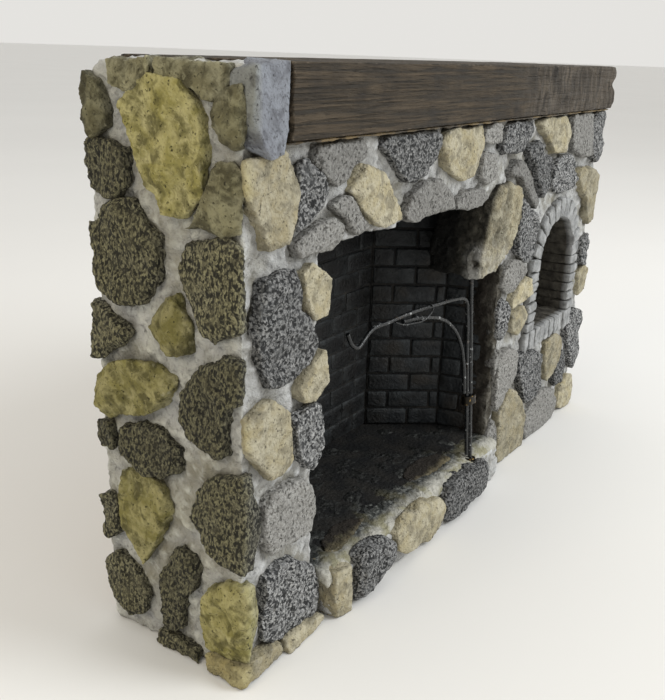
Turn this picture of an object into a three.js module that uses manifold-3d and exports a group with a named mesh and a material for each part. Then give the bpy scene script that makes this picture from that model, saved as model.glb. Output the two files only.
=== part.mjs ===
// Miniature stone fireplace mantel, twelfth scale, with a swinging pot crane.
// Millimetres, +Z up. The drawing below is made in the wall frame: x from the left outer
// face, y from the front stone faces into the wall, z up from the base. The group at the
// end moves that to the part's own frame, centred on the base.

import * as THREE from 'three'
import { mergeVertices } from 'three/addons/utils/BufferGeometryUtils.js'
import Module from 'manifold-3d'

// ---- driving dimensions -------------------------------------------------------------

const width = 245            // over the side stones
const height = 151           // base to the top of the beam
const depth = 49             // front stone faces to the back
const gap = 0.3              // clearance wherever two pieces meet

const stoneProud = 2         // stone faces stand this far out of the mortar
const stoneDepth = 4.5       // thickness of a wall stone
const stoneBevel = 0.9       // worn edge of a stone
const mortarCoat = 4         // thickness of the mortar coat
const boardThickness = 3     // back board

const openingLeft = 33       // firebox opening
const openingWidth = 117
const openingHeight = 90.5
const hearthTop = 17
const cheekStep = 1.5        // how far the cheeks come in behind the jamb stones
const cheekThroat = 5        // and at the throat
const throatDepth = 21
const cheekSplay = 22        // how far in the cheeks meet the fireback
const fireboxDepth = 43
const linerRun = 3           // thickness of a cheek along x
const linerThickness = 2.4   // ceiling and fireback
const floorThickness = 4.7

const nicheLeft = 184        // arched wood niche
const nicheWidth = 38
const nicheSill = 50
const nicheHeight = 43
const nicheDepth = 22       // from the stone faces to the back of the niche
const nicheWall = 2
const archBrickWidth = 8
const archBrickProud = 1.2   // bricks out of their mortar ring
const archJoint = 0.9
const jambCourses = 3
const voussoirs = 9
const sillBricks = 7

const beamLeft = 13.5        // mantel beam
const beamOverhang = 1
const beamHeight = 17
const beamProud = 2.5
const stubDrop = 2           // the stone stub beside the beam stops this far below its top

const hearthProud = 6.2      // hearth stones in front of the wall stones
const hearthBedProud = 4.2
const hearthBedInset = 11    // hearth bed stops this far inside the opening's sides
const hearthBedHeight = 14

const rodDiameter = 1.7      // pot crane
const wireDiameter = 1.5
const tieDiameter = 0.7
const pivotClearance = 0.25
const socketDepth = 2.6
const socketWall = 1.4
const rodFromJamb = 22       // foot of the pivot rod, from the right of the opening
const rodProud = 1.6         // and in front of the stone faces
const rodLeanBack = 6        // the rod leans into the wall on its way up
const rodLeanRight = 1.3
const rodTopDrop = 26.5      // top of the rod's free length, below the opening's top
const footRingWall = 1
const footRingHeight = 1.2
const legOffset = 2.3        // leg of the arm, from the rod
const armHeight = 74.6
const armReach = 55
const hookWidth = 12
const hookDrop = 5.5
const clipHeight = 41
const clipWidth = 3

// ---- solids -------------------------------------------------------------------------

const wasm = await Module()
wasm.setup()

function solid(geometry) {
  const bare = geometry.index ? geometry.toNonIndexed() : geometry.clone()
  bare.deleteAttribute('normal')
  bare.deleteAttribute('uv')
  const merged = mergeVertices(bare, 1e-4)
  return new wasm.Manifold(new wasm.Mesh({
    numProp: 3,
    vertProperties: new Float32Array(merged.attributes.position.array),
    triVerts: new Uint32Array(merged.index.array),
  }))
}

function geometryOf(body) {
  const mesh = body.getMesh()
  const geometry = new THREE.BufferGeometry()
  geometry.setAttribute('position', new THREE.BufferAttribute(mesh.vertProperties, 3))
  geometry.setIndex(new THREE.BufferAttribute(mesh.triVerts, 1))
  geometry.computeVertexNormals()
  return geometry
}

const joined = (bodies) => bodies.reduce((whole, next) => whole.add(next))
const cutBy = (body, cutters) => cutters.reduce((whole, next) => whole.subtract(next), body)

function block(x0, x1, y0, y1, z0, z1) {
  const geometry = new THREE.BoxGeometry(x1 - x0, y1 - y0, z1 - z0)
  geometry.translate((x0 + x1) / 2, (y0 + y1) / 2, (z0 + z1) / 2)
  return solid(geometry)
}

const shapeOf = (points) => new THREE.Shape(points.map(([u, v]) => new THREE.Vector2(u, v)))

// A plan outline in x and y, standing from z0 to z1.
function column(points, z0, z1) {
  const geometry = new THREE.ExtrudeGeometry(shapeOf(points), { depth: z1 - z0, bevelEnabled: false })
  geometry.translate(0, 0, z0)
  return solid(geometry)
}

// The three stone faces. An outline on a face is drawn in its own across and up
// directions, and runs inwards from the face: across is x on the front, and the
// distance from the front on either side.
const faces = {
  front: { across: [1, 0, 0], out: [0, -1, 0], at: [0, 0, 0] },
  left: { across: [0, 1, 0], out: [-1, 0, 0], at: [0, 0, 0] },
  right: { across: [0, 1, 0], out: [1, 0, 0], at: [width, 0, 0] },
}

// A shape on a face, from `outer` in front of the face to `inner` behind it.
function onFace(faceName, shape, outer, inner, bevel = 0, inset = 0) {
  const face = faces[faceName]
  const across = new THREE.Vector3(...face.across)
  const out = new THREE.Vector3(...face.out)
  const up = new THREE.Vector3(0, 0, 1)
  const handed = across.clone().cross(up).dot(out) > 0
  const drawn = handed ? shape : mirroredShape(shape)
  const geometry = new THREE.ExtrudeGeometry(drawn, {
    depth: outer + inner - 2 * bevel,
    bevelEnabled: bevel > 0 || inset > 0,
    bevelThickness: bevel,
    bevelSize: bevel,
    bevelOffset: -bevel - inset,
    bevelSegments: 2,
    curveSegments: 8,
  })
  geometry.translate(0, 0, bevel - inner)
  const axis = handed ? across : across.clone().negate()
  const place = new THREE.Matrix4().makeBasis(axis, up, out)
  place.setPosition(...face.at)
  geometry.applyMatrix4(place)
  return solid(geometry)
}

function mirroredShape(shape) {
  const { shape: points, holes } = shape.extractPoints(8)
  const flip = (list) => list.map((point) => new THREE.Vector2(-point.x, point.y))
  const flipped = new THREE.Shape(flip(points))
  flipped.holes = holes.map((hole) => new THREE.Path(flip(hole)))
  return flipped
}

// A round bar along a curve.
function bar(curve, diameter, steps, sides = 8) {
  const section = new THREE.Shape()
  section.absarc(0, 0, diameter / 2, 0, 2 * Math.PI)
  return solid(new THREE.ExtrudeGeometry(section, {
    steps, extrudePath: curve, bevelEnabled: false, curveSegments: sides,
  }))
}

// ---- layout -------------------------------------------------------------------------

const openingRight = openingLeft + openingWidth
const openingTop = hearthTop + openingHeight
const hearthBedLeft = openingLeft + hearthBedInset
const hearthBedRight = openingRight - hearthBedInset
const rodFoot = new THREE.Vector3(openingRight - rodFromJamb, -rodProud, hearthBedHeight + gap)
const rodTop = new THREE.Vector3(rodFoot.x + rodLeanRight, rodFoot.y + rodLeanBack, openingTop - rodTopDrop)
const nicheRight = nicheLeft + nicheWidth
const nicheTop = nicheSill + nicheHeight
const beamUnderside = height - beamHeight
const coatFront = stoneProud
const coatBack = stoneProud + mortarCoat
const coreFront = coatBack + gap
const coreLeft = coreFront
const coreRight = width - coreFront
const boardFront = depth - boardThickness
const coreBack = boardFront - gap
const stubRight = beamLeft - gap
const stubTop = height - stubDrop
const coreStubTop = stubTop - mortarCoat / 2 - gap
const coreTop = beamUnderside - gap

// The stones are drawn for one layout and follow the landmarks of the wall: its ends, the
// opening, the niche and the beam.
const drawnX = [0, 33, 150, 184, 222, 245]
const drawnOpeningZ = [0, 17, 107.5, 134, 150]
const drawnNicheZ = [0, 50, 93, 134, 150]
const drawnDepth = 49

function between(value, from, to) {
  let i = 1
  while (i < from.length - 1 && value > from[i]) i += 1
  const share = (value - from[i - 1]) / (from[i] - from[i - 1])
  return to[i - 1] + share * (to[i] - to[i - 1])
}

const openingZ = (z) => between(z, drawnOpeningZ, [0, hearthTop, openingTop, beamUnderside, height - 1])
const nicheZ = (z) => between(z, drawnNicheZ, [0, nicheSill, nicheTop, beamUnderside, height - 1])

function placed(faceName, [u, z]) {
  if (faceName === 'left') return [u * depth / drawnDepth, openingZ(z)]
  if (faceName === 'right') return [u * depth / drawnDepth, nicheZ(z)]
  const x = between(u, drawnX, [0, openingLeft, openingRight, nicheLeft, nicheRight, width])
  const share = THREE.MathUtils.clamp((u - drawnX[2]) / (drawnX[3] - drawnX[2]), 0, 1)
  return [x, THREE.MathUtils.lerp(openingZ(z), nicheZ(z), share)]
}

// Plan of the firebox with its cheeks moved outwards by `grow`, from depth y0 to y1.
function fireboxPlan(grow, y0, y1) {
  const cheek = (y) => between(y, [coreFront, throatDepth, fireboxDepth, depth],
    [cheekStep, cheekThroat, cheekSplay, cheekSplay])
  const stops = [y0, throatDepth, fireboxDepth, y1].filter((y, i) => i === 0 || i === 3 || (y > y0 && y < y1))
  const left = stops.map((y) => [openingLeft + cheek(y) - grow, y])
  const right = stops.map((y) => [openingRight - cheek(y) + grow, y])
  return { left, right, whole: [...left, ...right.reverse()] }
}

function archShape(grow, foot = grow) {
  const radius = nicheWidth / 2 + grow
  const centre = nicheLeft + nicheWidth / 2
  const shape = new THREE.Shape()
  shape.moveTo(centre - radius, nicheSill - foot)
  shape.lineTo(centre + radius, nicheSill - foot)
  shape.lineTo(centre + radius, nicheTop - nicheWidth / 2)
  shape.absarc(centre, nicheTop - nicheWidth / 2, radius, 0, Math.PI)
  return shape
}

// ---- stones -------------------------------------------------------------------------

// Each stone: name, face, tone, outline, and how far it stands proud of the wall face.
const front = (name, tone, outline, proud = 0) => ({ name, face: 'front', tone, outline, proud })
const left = (name, tone, outline) => ({ name, face: 'left', tone, outline, proud: 0 })
const right = (name, tone, outline) => ({ name, face: 'right', tone, outline, proud: 0 })

const frontStones = [
  front('front_stone_beam_end', 'blue', [[0, 147], [3, 149.5], [10, 150], [13, 149], [13, 133.4],
    [6, 132.5], [2.5, 134], [0, 139]]),
  front('front_stone_upper_corner', 'cream', [[0, 130], [5, 131], [11, 131.6], [14.5, 131.6], [17.5, 128],
    [19.5, 122], [18.6, 117], [17, 112], [14, 110], [8, 110], [7, 115], [3, 120], [0, 124]]),
  front('front_stone_under_beam', 'grey', [[27, 131], [30, 132.4], [48, 132.6], [50.5, 130.5], [49.5, 127.6],
    [44, 126], [40, 123], [36, 121.8], [31, 124.6], [27, 128.5]]),
  front('front_stone_slanted', 'cream', [[43, 119.5], [45, 122.6], [50, 126], [54, 125.6], [58, 124],
    [63, 119], [68, 114], [70, 110], [68, 108.4], [62, 108.4], [57, 109], [51, 113.4]]),
  front('front_stone_lintel_dark', 'dark', [[56.5, 130], [59, 132.2], [66, 132.6], [78, 132.2], [88, 132.6],
    [90.8, 130], [90, 126], [86, 122.5], [84, 120], [78, 119.4], [70, 120], [66, 123], [60, 128]]),
  front('front_stone_lintel_cream', 'cream', [[92.5, 131], [95, 132.6], [118, 132.6], [119.4, 130], [120.6, 126],
    [119, 123], [120, 119.4], [115, 117.4], [109, 116], [102, 117.4], [98, 120], [95, 123], [93.6, 127]]),
  front('front_stone_lintel_speckled', 'dark', [[138, 128], [140, 131.6], [146, 132.6], [160, 132.4],
    [162.6, 130], [159.6, 126], [155, 123], [150, 121.6], [142, 121.6], [136.8, 122.6]]),
  front('front_stone_band', 'grey', [[145.4, 116], [152, 119.6], [159, 117.6], [168, 109.6], [175.6, 102.6],
    [173, 100], [166, 104.4], [161.4, 109.2], [153.4, 113.6], [147, 113.6]]),
  front('front_stone_right_cream', 'cream', [[166.8, 130], [170, 132.2], [178, 132.2], [195, 132.6],
    [201.6, 130], [202.2, 125], [199, 120], [195, 118.6], [188, 118.4], [184, 121], [179, 125.6], [171, 129]]),
  front('front_stone_right_speckled', 'dark', [[160.6, 121.4], [165, 124.6], [171, 124.6], [178, 120.6],
    [183, 117.6], [185.4, 112], [184, 106], [178.4, 102.6], [174, 108.6], [169, 114.4], [163, 118.6]]),
  front('front_stone_right_grey', 'grey', [[203.8, 130], [206, 132.6], [227, 132.6], [229.4, 130], [228.6, 124],
    [232, 119], [234.6, 115], [228, 114.6], [216, 116.6], [208.4, 118.6], [204.8, 123]]),
  front('front_stone_right_shoulder', 'cream', [[217, 109.4], [222, 110.8], [236, 109.8], [245, 105.6],
    [245, 85], [240, 84.6], [236, 87], [231.6, 93], [227, 100.6], [220, 105.6]]),
  front('front_stone_left_large', 'dark', [[6, 100], [9, 103.6], [15, 105.4], [19, 104.4], [22.6, 99.4],
    [24, 93.6], [28, 88], [30.6, 84], [29, 80.4], [24, 77.4], [17, 76.6], [10, 77.6], [7.4, 81.4], [5.6, 88],
    [5.2, 94.5]]),
  front('front_stone_left_cream', 'cream', [[0, 70], [4, 73], [9, 74.5], [14, 73], [18, 69], [18.6, 64],
    [20, 57], [19.8, 53.6], [17, 51.6], [12, 52.4], [9, 56], [4, 61], [0, 65]]),
  front('front_stone_left_grey', 'grey', [[9, 46.4], [13, 49.2], [20, 49.2], [26, 47.4], [29, 43.6], [31, 38],
    [31, 34], [29, 31], [20, 31], [11.4, 32], [8.4, 37]]),
]

const sideStones = [
  left('side_stone_top_back', 'olive', [[49, 146], [47, 147.5], [43, 144], [40.4, 139], [40.4, 134.6],
    [45, 132.6], [49, 136]]),
  left('side_stone_upper_back', 'dark', [[48.5, 130], [45, 132], [39.5, 132.4], [34.8, 129], [35.2, 122],
    [40, 118.6], [47, 119], [48.5, 122.4]]),
  left('side_stone_large_dark', 'dark', [[47, 111], [39.5, 117.4], [33, 118.6], [26.6, 111], [25.6, 103],
    [31, 95], [38, 92.8], [45, 96], [46.5, 102]]),
  left('side_stone_large_yellow', 'cream', [[35.4, 140], [31, 145], [25, 147], [20, 147], [14, 143.6],
    [12.2, 138], [10.6, 132], [11.8, 124], [14, 119.6], [18.4, 115.4], [24, 118], [30, 122.6], [32, 130]]),
  left('side_stone_folded', 'olive', [[18.4, 114], [12, 119.4], [10, 126], [8.6, 130.4], [4, 130.4], [1, 126],
    [0, 120], [0, 114.6], [8, 114.4]]),
  left('side_stone_top_front', 'olive', [[10, 140], [8, 145], [2, 147], [0, 145], [0, 133], [3, 132],
    [8, 134]]),
  left('side_stone_front_dark', 'dark', [[19.6, 104], [17.4, 111], [12, 112.6], [6, 113.4], [0, 112], [0, 104],
    [1.6, 93], [9, 88.2], [14, 92.6]]),
  left('side_stone_middle_yellow', 'cream', [[30, 89], [25, 96], [20.6, 99], [16.6, 92], [16.6, 84.6],
    [23, 82.6]]),
  left('side_stone_back_dark', 'dark', [[49, 92], [46, 92], [41, 89.4], [35, 86], [40, 82.6], [48, 77],
    [49, 80]]),
  left('side_stone_back_yellow', 'cream', [[48.6, 64], [48.6, 70], [45, 75.4], [37, 79.4], [28, 80], [22.6, 77],
    [24.6, 70], [30, 66.6], [38, 63.8], [45, 62]]),
  left('side_stone_low_dark', 'dark', [[41, 52.6], [40, 60], [34, 62.8], [26.6, 63.6], [20.8, 59], [20.6, 53],
    [26, 50], [36, 50]]),
  left('side_stone_front_brown', 'dark', [[20.4, 68.6], [19, 75], [13, 82], [6, 86], [1, 86], [0, 80],
    [0, 77], [5.2, 74.6], [5.2, 60.2], [9, 60.4], [13, 63.4], [18, 63.8]]),
  left('side_stone_lower_yellow', 'cream', [[41, 47.6], [36, 49.4], [25.6, 48.4], [24.6, 43], [28.6, 33],
    [33, 23.4], [38, 25.6], [41.6, 38]]),
  left('side_stone_foot_back', 'dark', [[48.6, 18], [45, 22], [40, 22.4], [35.4, 19.4], [32.6, 14],
    [34.4, 7.6], [39, 4.6], [45, 6.4], [48, 12]]),
  left('side_stone_foot_middle', 'dark', [[27.6, 18], [24.6, 30], [21, 32], [16.6, 30.6], [14.8, 27],
    [19.4, 17], [20.4, 7.6], [26.6, 5.6]]),
]

// Stones that wrap the front left corner: one outline on each face.
const cornerStones = [
  { name: 'corner_stone_upper', tone: 'dark',
    front: [[0, 57.5], [4.6, 55.4], [6, 51], [6, 44], [5, 36], [4, 32], [0, 31]],
    left: [[0, 31], [6, 32], [12, 35], [17, 42], [15, 50], [10, 54], [4.6, 57], [0, 57.5]] },
  { name: 'corner_stone_lower', tone: 'cream',
    front: [[0, 28], [2.4, 27], [5, 21], [5, 13], [3, 8], [0, 6.6]],
    left: [[0, 6.6], [3, 6], [12, 6], [14.6, 16], [12, 23.4], [6, 27.4], [0, 28]] },
  { name: 'corner_stone_foot', tone: 'cream',
    front: [[0, 5], [8, 5], [14.4, 4], [15.4, 0], [0, 0]],
    left: [[0, 0], [12, 0], [13, 2.4], [4, 4.6], [0, 5]] },
]

// Small stones are bedded so deep in the mortar that they are one body with it.
const frontChips = [
  [[20.4, 126.6], [22, 129], [25, 128.5], [29, 125], [33, 120.5], [30, 118], [25, 115.4], [21, 113], [19.9, 118]],
  [[20.5, 109.5], [24, 111.4], [29, 113.4], [35.6, 114], [40.6, 111.6], [41, 109.4], [38, 108.4], [22, 107.4]],
  [[34.4, 117.5], [38, 118.6], [42.4, 118.4], [49.4, 112.4], [54, 109], [46, 109.4], [43.4, 112.6], [37.4, 116]],
  [[75.6, 115], [80, 117.4], [85, 118.6], [90, 118.4], [96, 116], [101, 112.4], [103, 109.4], [78, 108.4], [73, 110]],
  [[121.6, 127.4], [123, 131], [128, 132.6], [133, 132.4], [135.6, 129], [136, 126.4], [130, 127], [124, 127]],
  [[122, 123], [124, 124.4], [130, 122.6], [133.6, 119], [133.6, 114.6], [128, 113], [124, 114.6], [121.4, 117]],
  [[105, 108.4], [106, 110.8], [110, 112.6], [118, 112.4], [126, 111.4], [129.6, 108.4]],
  [[160.6, 104], [162.6, 104.4], [166.4, 101], [173, 97], [174.6, 94], [174.6, 84], [171, 80.6], [165, 82],
    [160.6, 87], [160.6, 95]],
  [[230.8, 131], [234, 132.6], [240, 132.6], [245, 129.4], [245, 112.4], [237, 112.4], [235.6, 116], [233, 120],
    [230, 125]],
  [[188.4, 113], [191, 115], [198, 117.2], [204, 116.2], [212, 113.4], [214, 108], [212, 104.4], [204, 103.6],
    [194, 104.4], [188.4, 107]],
  [[236, 79], [240, 80.5], [245, 77], [245, 71.6], [240, 67.6], [235, 68]],
  [[234, 64], [240, 66.4], [245, 64.4], [245, 53.6], [236, 55]],
  [[227, 39.6], [229, 42], [237, 46.4], [245, 44.4], [245, 19], [240, 20], [236, 25], [230.6, 33]],
  [[204, 39], [207, 40.4], [222, 36], [222.4, 33.6], [218.4, 27.6], [214.4, 22.6], [209, 22], [206, 27.6]],
  [[171.8, 41.6], [176, 42.4], [184, 40], [192, 39], [197.6, 35.6], [199.4, 29], [198.4, 22.4], [194, 18],
    [187, 18], [182.4, 21.6], [178.6, 28.4], [174.6, 34.4]],
  [[153.4, 45], [154.4, 47], [160, 47.4], [167.6, 45.4], [171, 40], [172, 35.6], [167, 32], [160, 28.4],
    [154, 25.6], [152.2, 29], [152.4, 36]],
  [[157, 22.6], [162, 26], [168, 29.6], [173.6, 26.4], [179.6, 19.6], [183.4, 12], [185, 4], [183.4, 0],
    [160.6, 0], [158.4, 5], [158, 13]],
  [[151.4, 13], [152.6, 18], [155, 17], [156.6, 12], [156, 7], [152.6, 6]],
  [[222.6, 31.4], [225, 30.6], [227, 26.6], [229.4, 22], [226, 19], [222, 16], [218, 19], [218, 22], [220.6, 27]],
  [[188, 14], [196, 16.4], [203, 18.4], [212, 16.4], [219.6, 13.4], [223, 8], [223, 2.6], [217.6, 0],
    [190.6, 0], [187, 5]],
  [[227, 8.4], [230.4, 14], [236, 16.4], [245, 15], [245, 0], [232, 0], [227.6, 3]],
  [[153.4, 82], [156.6, 83], [161, 81.4], [168, 78.6], [171.4, 75.8], [166, 74], [158, 71.8], [153.4, 73]],
  [[158, 68.4], [163, 70.4], [172, 72.8], [175, 72], [175, 66.4], [172, 65], [160.4, 65]],
  [[161.6, 61.6], [168, 62.4], [174.6, 61.4], [174.6, 54.4], [168, 52.4], [162.6, 55], [160.6, 58]],
  [[22.4, 102.6], [28, 103.9], [31.6, 101.6], [32, 94], [32, 90.6], [28, 91.4], [26, 93.6], [24.8, 98]],
  [[21.8, 73], [24, 75.6], [29, 79.2], [32, 80], [32, 69.8], [28, 68.8], [24.6, 69.4]],
  [[20.6, 65], [25, 66.6], [32, 66.4], [32, 51], [30, 49.6], [26.4, 51], [23.4, 55.6], [21.4, 60]],
  [[10, 25.6], [16, 26.8], [21, 25.6], [25, 21.6], [31, 19.4], [33.6, 14], [34.4, 6.4], [33.4, 3.6], [25, 4.2],
    [16, 5], [9.4, 7], [8.4, 12], [9.4, 20]],
  [[35.6, 14], [38, 15.2], [42.4, 12.6], [43.6, 8], [43, 2.4], [42.4, 0.4], [37, 0.4], [35.8, 5]],
]

const leftChips = [
  [[48.4, 53], [48.4, 60], [44.6, 60.4], [43.6, 53]],
  [[48.6, 38.6], [46, 39.4], [43.2, 37], [43, 30.4], [47, 25.6], [48.6, 27]],
  [[29, 0.6], [28, 4.2], [22, 3.8], [16, 3], [15, 0.6]],
]

const rightChips = [
  [[8, 130], [20, 132], [26, 127], [24, 119], [14, 116], [7, 121]],
  [[30, 131], [44, 131], [47, 122], [42, 115], [31, 117], [28, 124]],
  [[7, 111], [18, 113], [26, 108], [24, 98], [13, 95], [7, 100]],
  [[29, 112], [41, 111], [47, 104], [44, 94], [34, 91], [28, 100]],
  [[7, 90], [17, 92], [27, 87], [28, 76], [17, 71], [8, 76]],
  [[31, 87], [44, 89], [47, 76], [40, 69], [31, 74]],
  [[7, 67], [15, 68], [21, 62], [19, 51], [10, 48], [7, 55]],
  [[24, 69], [36, 66], [44, 61], [40, 50], [28, 49], [23, 57]],
  [[7, 43], [19, 46], [30, 44], [30, 34], [19, 28], [9, 31]],
  [[34, 45], [46, 46], [47, 33], [39, 27], [33, 34]],
  [[7, 25], [17, 25], [24, 20], [23, 9], [13, 4], [7, 10]],
  [[28, 25], [39, 23], [47, 17], [44, 6], [33, 4], [27, 12]],
]

const hearthStones = [
  { name: 'hearth_stone_left', tone: 'dark', back: stoneDepth - hearthProud,
    outline: [[46, 6], [47, 2.6], [50, 2], [54, 2.4], [59, 5], [66, 7.4], [65.4, 12], [59, 15.4], [50, 16.2],
      [46.8, 15.5], [45.8, 11]] },
  { name: 'hearth_stone_middle', tone: 'cream', back: stoneDepth - hearthProud,
    outline: [[67.2, 9.4], [72.5, 5], [85.5, 1.6], [92.5, 1.4], [98.3, 3.3], [99.5, 9.5], [97, 14], [88, 16.4],
      [74, 16.8], [67.2, 14.2]] },
  { name: 'hearth_stone_crane_foot', tone: 'dark', back: 0.6,
    outline: [[100.8, 6], [105.5, 1.4], [113.5, 1.2], [121.5, 2], [131, 1], [134, 3], [136.5, 6.5],
      [132, 14.4], [118, 15.2], [104.5, 14.8], [101, 11]] },
]

const corbelOutline = [[126.8, 81.4], [126.6, 89], [129.6, 95], [131.6, 101], [133.6, 107], [138, 112.4],
  [148, 112.4], [156, 110.4], [159.4, 106], [159, 99], [157, 93], [153, 88], [147.6, 85], [140, 81.4]]
const corbelReach = 20.5

// Where two faces meet, each keeps its own side of the mitre through the corner.
function mitre(faceName, atRight, clearance) {
  const reach = 12
  const start = clearance * Math.SQRT1_2
  const onFront = [[-reach + start, -reach], [width + reach, -reach], [width + reach, reach], [reach + start, reach]]
  const onSide = [[-reach, -reach + start], [-reach, depth + reach], [reach, depth + reach], [reach, reach + start]]
  const points = faceName === 'front' ? onFront : onSide
  return column(atRight ? points.map(([x, y]) => [width - x, y]) : points, -reach, height + reach)
}

const nearCorner = (points) => Math.min(...points.map(([u]) => u)) < stoneDepth + gap
const nearRight = (points) => Math.max(...points.map(([u]) => u)) > width - stoneDepth - gap

function mitred(body, faceName, points, clearance) {
  let trimmed = body
  if (faceName !== 'right' && nearCorner(points)) trimmed = trimmed.intersect(mitre(faceName, false, clearance))
  if (faceName === 'right' && nearCorner(points)) trimmed = trimmed.intersect(mitre('side', true, clearance))
  if (faceName === 'front' && nearRight(points)) trimmed = trimmed.intersect(mitre('front', true, clearance))
  return trimmed
}

function stoneOn(faceName, outline, proud, inner) {
  const points = outline.map((point) => placed(faceName, point))
  const body = onFace(faceName, shapeOf(points), proud, inner, stoneBevel, gap)
  return mitred(body, faceName, points, gap)
}

function pocketOn(faceName, outline, proud, inner) {
  const points = outline.map((point) => placed(faceName, point))
  const body = onFace(faceName, shapeOf(points), proud + 1, inner + gap)
  return mitred(body, faceName, points, 0)
}

const stones = []
const pockets = [onFace('front', archShape(archBrickWidth + gap), 1, coatBack)]

function setStone(name, tone, body, pocket) {
  stones.push({ name, tone, body: cutBy(body, pockets) })
  pockets.push(pocket)
}

for (const { name, tone, front: onFront, left: onLeft } of cornerStones) {
  setStone(name, tone,
    stoneCorner(onFront, onLeft, gap),
    stoneCorner(onFront, onLeft, 0))
}

function stoneCorner(onFront, onLeft, inset) {
  const half = (faceName, outline) => {
    const points = outline.map((point) => placed(faceName, point))
    return inset
      ? onFace(faceName, shapeOf(points), 0, stoneDepth, stoneBevel, inset)
      : onFace(faceName, shapeOf(points), 1, stoneDepth + gap)
  }
  return half('front', onFront).add(half('left', onLeft))
}

for (const { name, face, tone, outline, proud } of [...frontStones, ...sideStones]) {
  setStone(name, tone, stoneOn(face, outline, proud, stoneDepth), pocketOn(face, outline, proud, stoneDepth))
}

for (const { name, tone, back, outline } of hearthStones) {
  setStone(name, tone, stoneOn('front', outline, hearthProud, back), pocketOn('front', outline, hearthProud, back))
}

const insideOpening = block(0, openingRight - cheekThroat - 2 * gap, -1, depth, hearthTop, openingTop - gap)
setStone('corbel_stone', 'cream',
  stoneOn('front', corbelOutline, 0, stoneDepth)
    .add(stoneOn('front', corbelOutline, 0, corbelReach).intersect(insideOpening)),
  pocketOn('front', corbelOutline, 0, stoneDepth))

// ---- pot crane ----------------------------------------------------------------------

// The crane is drawn in its own upright plane: `reach` from the pivot rod towards the
// hook, and z, with `beside` for what stands out of that plane.
const craneDirection = new THREE.Vector3(-0.9936, 0.113, 0)
const rodAxis = rodTop.clone().sub(rodFoot).normalize()

function onRod(z) {
  return rodFoot.clone().lerp(rodTop, (z - rodFoot.z) / (rodTop.z - rodFoot.z))
}

const craneSide = new THREE.Vector3(-0.113, -0.9936, 0)

// A point `beside` the plane of the crane is that far towards the room.
function inCrane(along, z, beside = 0) {
  return onRod(z).addScaledVector(craneDirection, along).addScaledVector(craneSide, beside)
}

const craneCurve = (points) => new THREE.CatmullRomCurve3(points.map((p) => inCrane(...p)), false, 'centripetal')

function alongRod(radius, z0, z1, hole = 0) {
  const profile = [[hole, 0], [radius, 0], [radius, z1 - z0], [hole, z1 - z0], [hole, 0]]
  const points = hole ? profile : [[0, 0], [radius, 0], [radius, z1 - z0], [0, z1 - z0]]
  const geometry = new THREE.LatheGeometry(points.map(([r, z]) => new THREE.Vector2(r, z)), 16)
  const turn = new THREE.Quaternion().setFromUnitVectors(new THREE.Vector3(0, 1, 0), rodAxis)
  geometry.applyQuaternion(turn)
  const start = onRod(z0)
  geometry.translate(start.x, start.y, start.z)
  return solid(geometry)
}

const rodRadius = rodDiameter / 2
const socketRadius = rodRadius + pivotClearance
const pivotRod = alongRod(rodRadius, rodFoot.z - socketDepth + gap, rodTop.z + socketDepth - gap)
const footSocket = alongRod(socketRadius, rodFoot.z - socketDepth, rodFoot.z + socketDepth)
const topSocket = alongRod(socketRadius, rodTop.z - socketDepth, rodTop.z + socketDepth)
const ringRadius = socketRadius + footRingWall
const ringSeat = alongRod(ringRadius + gap, rodFoot.z, rodFoot.z + socketDepth)
const socketLug = alongRod(socketRadius + socketWall, rodTop.z, rodTop.z + socketDepth + socketWall)
for (const stone of stones) {
  if (stone.name === 'corbel_stone') stone.body = stone.body.add(socketLug).subtract(topSocket)
  if (stone.name === 'hearth_stone_crane_foot') stone.body = cutBy(stone.body, [footSocket, ringSeat])
}
const ringFoot = rodFoot.z + gap
const footRing = alongRod(ringRadius, ringFoot, ringFoot + footRingHeight, socketRadius)

const legFoot = rodFoot.z + 3.2
const hookStart = armReach
const armCurve = craneCurve([
  [legOffset, legFoot], [legOffset, 30], [legOffset, 50], [legOffset, armHeight - 5],
  [legOffset + 0.5, armHeight - 1.6], [legOffset + 2.2, armHeight - 0.1],
  [legOffset + 6, armHeight + 0.6], [20, armHeight + 1.1], [36, armHeight + 1.2], [48, armHeight + 0.6],
  [hookStart, armHeight - 0.8],
  [hookStart + 0.35 * hookWidth, armHeight - 0.7 * hookDrop],
  [hookStart + 0.55 * hookWidth, armHeight - hookDrop],
  [hookStart + 0.8 * hookWidth, armHeight - 0.75 * hookDrop],
  [hookStart + hookWidth, armHeight - 0.1 * hookDrop],
])
const arm = bar(armCurve, wireDiameter, 60)

const braceOffset = legOffset + wireDiameter + gap + 0.1
const braceCurve = craneCurve([
  [braceOffset, 41], [braceOffset, 47], [braceOffset + 0.6, 53], [braceOffset + 3, 60.5],
  [braceOffset + 8, 66.6], [braceOffset + 15, 70.6], [braceOffset + 24, 72.8],
  [braceOffset + 36, armHeight - wireDiameter - gap + 1.1],
])
const brace = bar(braceCurve, wireDiameter, 32)

// A thin wire lashed from the arm to the brace, ending in a twisted leaf.
const lashing = wireDiameter / 2 + tieDiameter / 2 + gap + 0.1
const tieCurve = craneCurve([
  [46, armHeight - 0.6, 0.3], [42, armHeight - 1.6, 0.8 * lashing], [36, armHeight - 2.4, lashing],
  [31, armHeight - 2.8, lashing], [27.6, armHeight - 2, lashing], [26, armHeight - 0.2, lashing],
  [25.4, armHeight + 1.2, lashing], [26, armHeight + 2.6, 0.4 * lashing],
])
const tieWire = bar(tieCurve, tieDiameter, 18, 6)

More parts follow.
